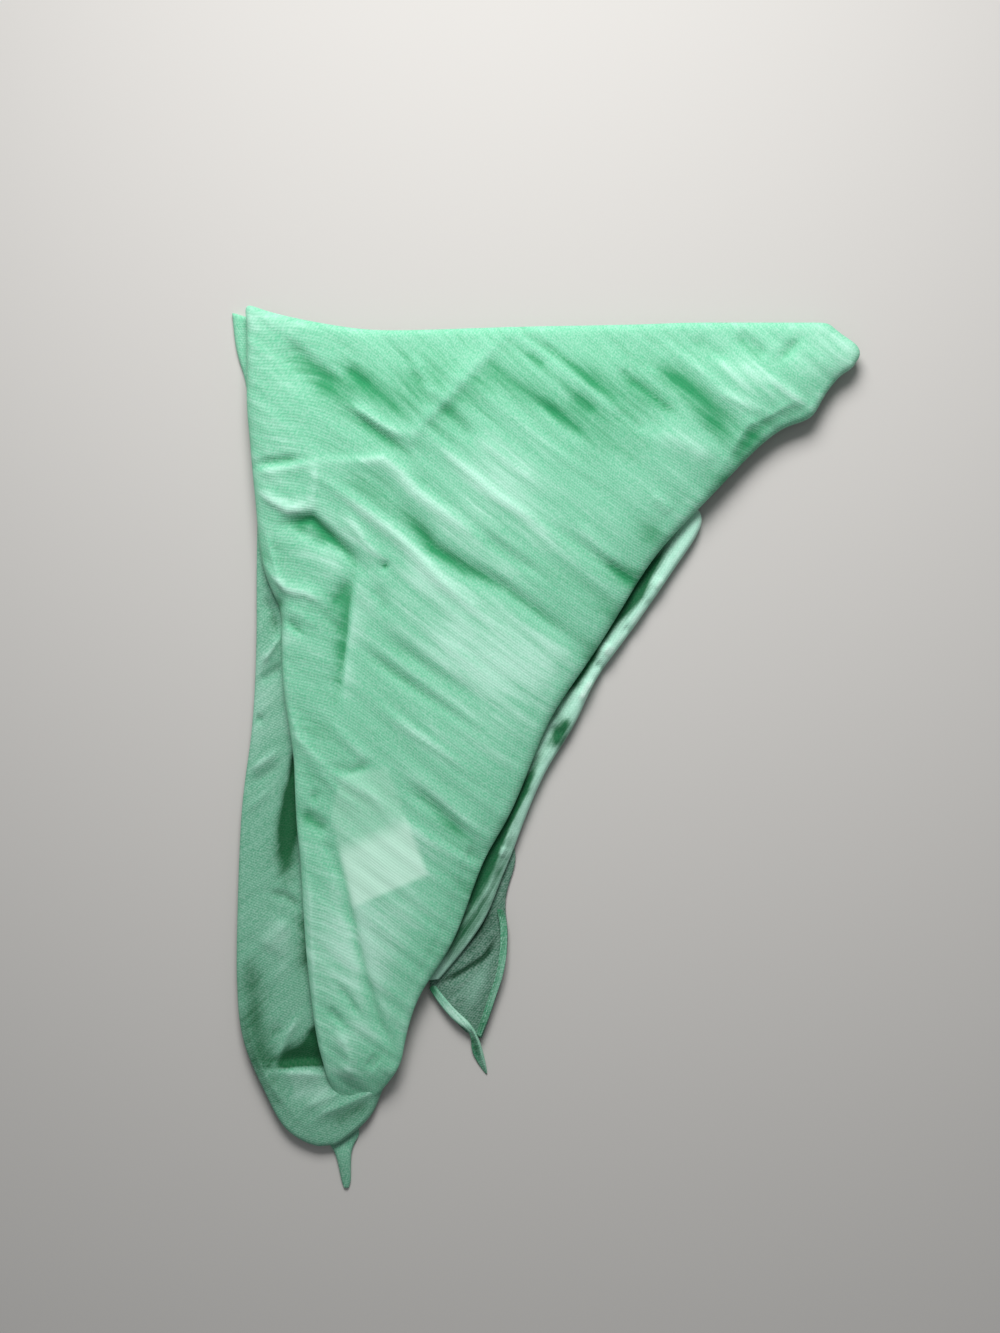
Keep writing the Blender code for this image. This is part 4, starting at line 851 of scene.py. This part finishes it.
# %% The hems
END_HEM = (
    Station((-49.2, -100.8), (-45.6, -99.6), 1.6, 2.9, 3.1),
    Station((-48.3, -102.5), (-44.7, -101.3), 1.8, 3.1, 3.4),
    Station((-46.2, -105.6), (-42.8, -103.6), 2.1, 3.5, 3.7),
    Station((-43.9, -108.8), (-40.2, -106.8), 2.3, 3.8, 3.8),
    Station((-41.6, -111.6), (-37.6, -109.6), 2.3, 4.0, 3.8),
    Station((-38.3, -115.2), (-34.8, -112.4), 2.2, 4.3, 3.9),
    Station((-34.9, -117.6), (-32.1, -114.6), 2.0, 4.4, 4.2),
    Station((-32.5, -119.2), (-30.3, -117.0), 1.8, 4.1, 4.5),
    Station((-31.6, -120.8), (-28.8, -119.4), 1.6, 3.2, 4.0),
)
TIP = (
    Station((-33.4, -118.0), (-30.9, -115.9), 1.6, 3.6, 3.8),
    Station((-32.2, -119.8), (-29.6, -118.0), 1.4, 3.4, 4.7),
    Station((-31.3, -121.8), (-28.1, -120.4), 1.0, 2.9, 4.8),
    Station((-31.0, -124.6), (-26.6, -124.0), 0.6, 2.2, 4.4),
    Station((-31.1, -127.4), (-25.5, -127.8), 0.4, 1.8, 3.7),
    Station((-29.7, -130.8), (-24.7, -131.2), 0.2, 1.4, 2.9),
    Station((-27.0, -134.8), (-24.1, -134.8), 0.1, 1.0, 1.9),
    Station((-24.4, -138.2), (-23.8, -138.0), 0.05, 0.5, 0.8),
)
# painted shade where the end hem starts under the side ply, and a painted highlight where it rolls over
END_HEM_PAINTED_SHADING = creases(  # it starts deep under the side ply, and is palest where it rolls over
    (-1.8, 4.5, 4.5, (-47.0, -101.4)),
    (1.5, 2.6, 2.0, (-43.0, -107.0), (-39.2, -111.6), (-34.4, -115.6), (-31.0, -118.4)),
    (-0.9, 0.7, 0.7, (-44.6, -107.4), (-41.8, -111.2), (-37.4, -115.4), (-33.2, -118.8)),
)
# a painted highlight on the point's turned rim, and painted shade inside the twist
TIP_PAINTED_SHADING = creases(  # its turned rim is pale, and the cloth inside the twist is deep
    (2.7, 1.1, 1.5, (-32, -116.4), (-29.9, -118.6), (-27.6, -121.6), (-26, -125.2), (-24, -137.6)),
    (-1.6, 1.6, 1.4, (-30.9, -121.0), (-29.4, -125.6), (-27.4, -131.0)),
)
# painted shade at both ends of the side hem, and a painted highlight along its fold
SIDE_HEM_PAINTED_SHADING = creases(  # it is deeper at both ends, and pale along its fold
    (-1.4, 3.6, 3.6, (-18.2, -68.2)),
    (-1.2, 5.0, 5.0, (-25.4, -116.4)),
    (0.9, 1.2, 1.2, (-17.6, -70.0), (-15.6, -82.0), (-18.2, -97.0), (-24.0, -114.0)),
)
SIDE_HEM_SHIFT = (-25.0, -95.0, 60.0, 1.7, 0.0)  # a wide nudge that takes the whole hem to the corner's rim
HEM_RISE = CLOTH  # it lies on the corner's cloth
hem_cloth = woven("hem_cloth", (56, 152, 108), (14, 100, 60), (150, 214, 184), weave=1.3)
end_hem_cloth = woven("end_hem_cloth", (128, 200, 168), (30, 122, 78), (188, 236, 214), weave=1.2)
bm = fuller(finer(outer_side("side_hem"), rounds=2, cuts=0), 0.3)
nudge(bm, *CORNER_NUDGES, SIDE_HEM_SHIFT)
bmesh.ops.translate(bm, verts=bm.verts, vec=(0, 0, HEM_RISE * MM))
side_hem = piece(bm, "side_hem_cloth", "side_hem", "hem", hem_cloth, turn=72, blur=10, painted_shading=SIDE_HEM_PAINTED_SHADING)
closed = {"wall": None, "blur": 10}  # a closed form needs no thickness
end_look = {"material": end_hem_cloth, "turn": -50, "painted_shading": END_HEM_PAINTED_SHADING}
end_hem = piece(band(END_HEM), "end_hem_cloth", "end_hem", "hem", **end_look, **closed)

# %% [markdown]
# A line of small stitches holds each hem near its inner edge. On the real cloth a machine sews them, and here
# each one is a thin rounded bar. They are placed along a given line, and a ray from above finds the
# height of the hem under each, so that all of them lie on it.

# %% The stitches of the hems
STITCH, STEP, THICK = 1.5, 2.3, 0.3  # a stitch's length, the way to the next one, and its thickness, in mm
ABOVE = 20  # the rays start this far over the surface, in mm
SIDE_LINE = [(-18.4, -70.4), (-17.6, -77.1), (-18.0, -83.3), (-19.9, -94.2), (-22.2, -103.5), (-25.6, -116.0)]
END_LINE = [(-45.5, -101.2), (-43.4, -104.4), (-40.9, -107.6), (-38.4, -110.4), (-35.5, -113.3), (-33, -116)]
stitch_form = Matrix.Diagonal((STITCH * MM, THICK * MM, THICK * MM, 1))
bm = bmesh.new()
sewn = 0
for hem, line in ((side_hem, SIDE_LINE), (end_hem, END_LINE)):
    under = BVHTree.FromObject(hem, bpy.context.evaluated_depsgraph_get())
    for start, end in zip(line[:-1], line[1:]):
        start, end = Vector((*start, ABOVE)) * MM, Vector((*end, ABOVE)) * MM
        count = max(1, round((end - start).length / (STEP * MM)))
        heading = Matrix.Rotation(math.atan2(end.y - start.y, end.x - start.x), 4, "Z")
        for i in range(count):
            found = under.ray_cast(start.lerp(end, (i + 0.5) / count), Vector((0, 0, -1)))[0]
            if found is not None:
                place = Matrix.Translation(found) @ heading @ stitch_form
                bmesh.ops.create_uvsphere(bm, u_segments=8, v_segments=6, radius=0.5, matrix=place)
                sewn += 1
print(sewn, "stitches")
stitch_thread = woven("stitch_thread", (150, 222, 190), (40, 130, 90), (200, 244, 224), weave=0.2)
piece(bm, "hem_stitches", None, "hem", stitch_thread, turn=0, wall=None, blur=2)

# %% [markdown]
# Three corners of the cloth are pressed points with no hollow in them. Their solids are closed and flat where
# they rest, so each is rounded as a whole. The one beyond the hemmed corner is a twisted leaf, and is drawn
# from its own stations.

# %% The pressed points
REAR_NUDGES = ((-132.0, 182.0, 6.0, -0.9, 2.6), (-132.0, 168.0, 12.0, -1.2, 0.0))
POINT_NUDGES = ((-80.0, -163.5, 4.0, 2.0, 0.0), (-92.0, -164.5, 4.0, -2.2, 0.0))  # it flares at its root
plain_cloth = woven("plain_cloth", MINT, DEEP, PALE)
for node, material, turn, nudges in (
    ("rear_corner", plain_cloth, 0, REAR_NUDGES),
    ("bottom_point", side_cloth, 75, POINT_NUDGES),
):
    bm = nudge(finer(solid_copy(node), rounds=2, cuts=0, smoothing=0), *nudges)
    piece(bm, node + "_cloth", node, "cloth", material, turn, **closed)
tip_look = {"material": hem_cloth, "turn": 60, "painted_shading": TIP_PAINTED_SHADING}
piece(band(TIP), "corner_point_cloth", "hemmed_corner_point", "hem", **tip_look, **closed)

# %% [markdown]
# The plies inside the bundle show only at its edges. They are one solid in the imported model, with grooves
# where the plies part, and they are lowered a little on top so that they stay below the creased sheets.

# %% The hidden plies
LOWERED, LOWEST, TOP_FROM = 3.0, 4.2, 5.0  # how far, down to where and from which height on, in mm
UPWARD = 0.9  # the upward part of its normal from which on a corner belongs to the top
# darker colours than the top ply's, as painted shade in the gaps where these plies show
stack_cloth = woven("stack_cloth", (84, 168, 120), (18, 80, 46), (140, 210, 172))
bm = solid_copy("folded_stack")
for vertex in bm.verts:
    if vertex.normal.z > UPWARD and vertex.co.z > TOP_FROM * MM:
        vertex.co.z = max(LOWEST * MM, vertex.co.z - LOWERED * MM)
piece(bm, "stack_cloth", "folded_stack", "cloth", stack_cloth, turn=30, wall=None, blur=2)

# %% [markdown]
# The label itself is a plain pale ribbon. It lies on the hidden plies, below the top ply.

# %% The sewn label
label_ribbon = woven("label_ribbon", (214, 230, 220), (160, 200, 180), (236, 244, 240), weave=0.4)
RIBBON = 0.3  # its thickness in mm
bm = outer_side("care_label")
piece(bm, "label_ribbon", "care_label", "label", label_ribbon, turn=15, wall=RIBBON, blur=2)

# %% [markdown]

# %% [markdown]
# The cloth lies on a plain pale floor. One large soft light stands beyond its top end, as a window would, so
# the cloth is bright there and darker towards its point. A pale surrounding fills the shadows.

# %% Floor and light
bm = bmesh.new()
bmesh.ops.create_grid(bm, x_segments=1, y_segments=1, size=4.0)
floor = to_object(bm, "floor")
floor_paint = Finish("floor_paint")
floor_paint.look({"Base Color": shade((205, 202, 198)), "Roughness": 0.9})
floor.data.materials.append(floor_paint.material)

LIGHT_PLACE, LIT_PLACE = Vector((-0.06, 0.74, 0.60)), Vector((0.02, 0.12, 0.0))
lamp = bpy.data.lights.new("window", "AREA")
lamp.shape, lamp.size, lamp.size_y = "RECTANGLE", 0.55, 0.40
lamp.energy, lamp.spread = 3.05, math.radians(95)
window = new_object("window", lamp)
window.location = LIGHT_PLACE
window.rotation_euler = (LIT_PLACE - LIGHT_PLACE).to_track_quat("-Z", "Y").to_euler()
print(f"a soft light of {lamp.energy:.2f} W")

world = bpy.data.worlds.new("surrounding")
bpy.context.scene.world = world
world.use_nodes = True
background = world.node_tree.nodes["Background"].inputs
background["Color"].default_value = (0.93, 0.97, 1.0, 1.0)
background["Strength"].default_value = 0.2
bpy.context.scene.view_settings.view_transform = "Standard"

# %% [markdown]
# The photograph looks straight down from about a metre. The picture's middle lies a little above and left of
# the object's own, which is where the camera stands.

# %% Camera
camera_data = bpy.data.cameras.new("camera")
camera_data.lens = 70.0
camera = new_object("camera", camera_data)
camera.location = (-0.0185, 0.0351, 1.101)
bpy.context.scene.camera = camera
print("the camera stands at", camera.location[:])
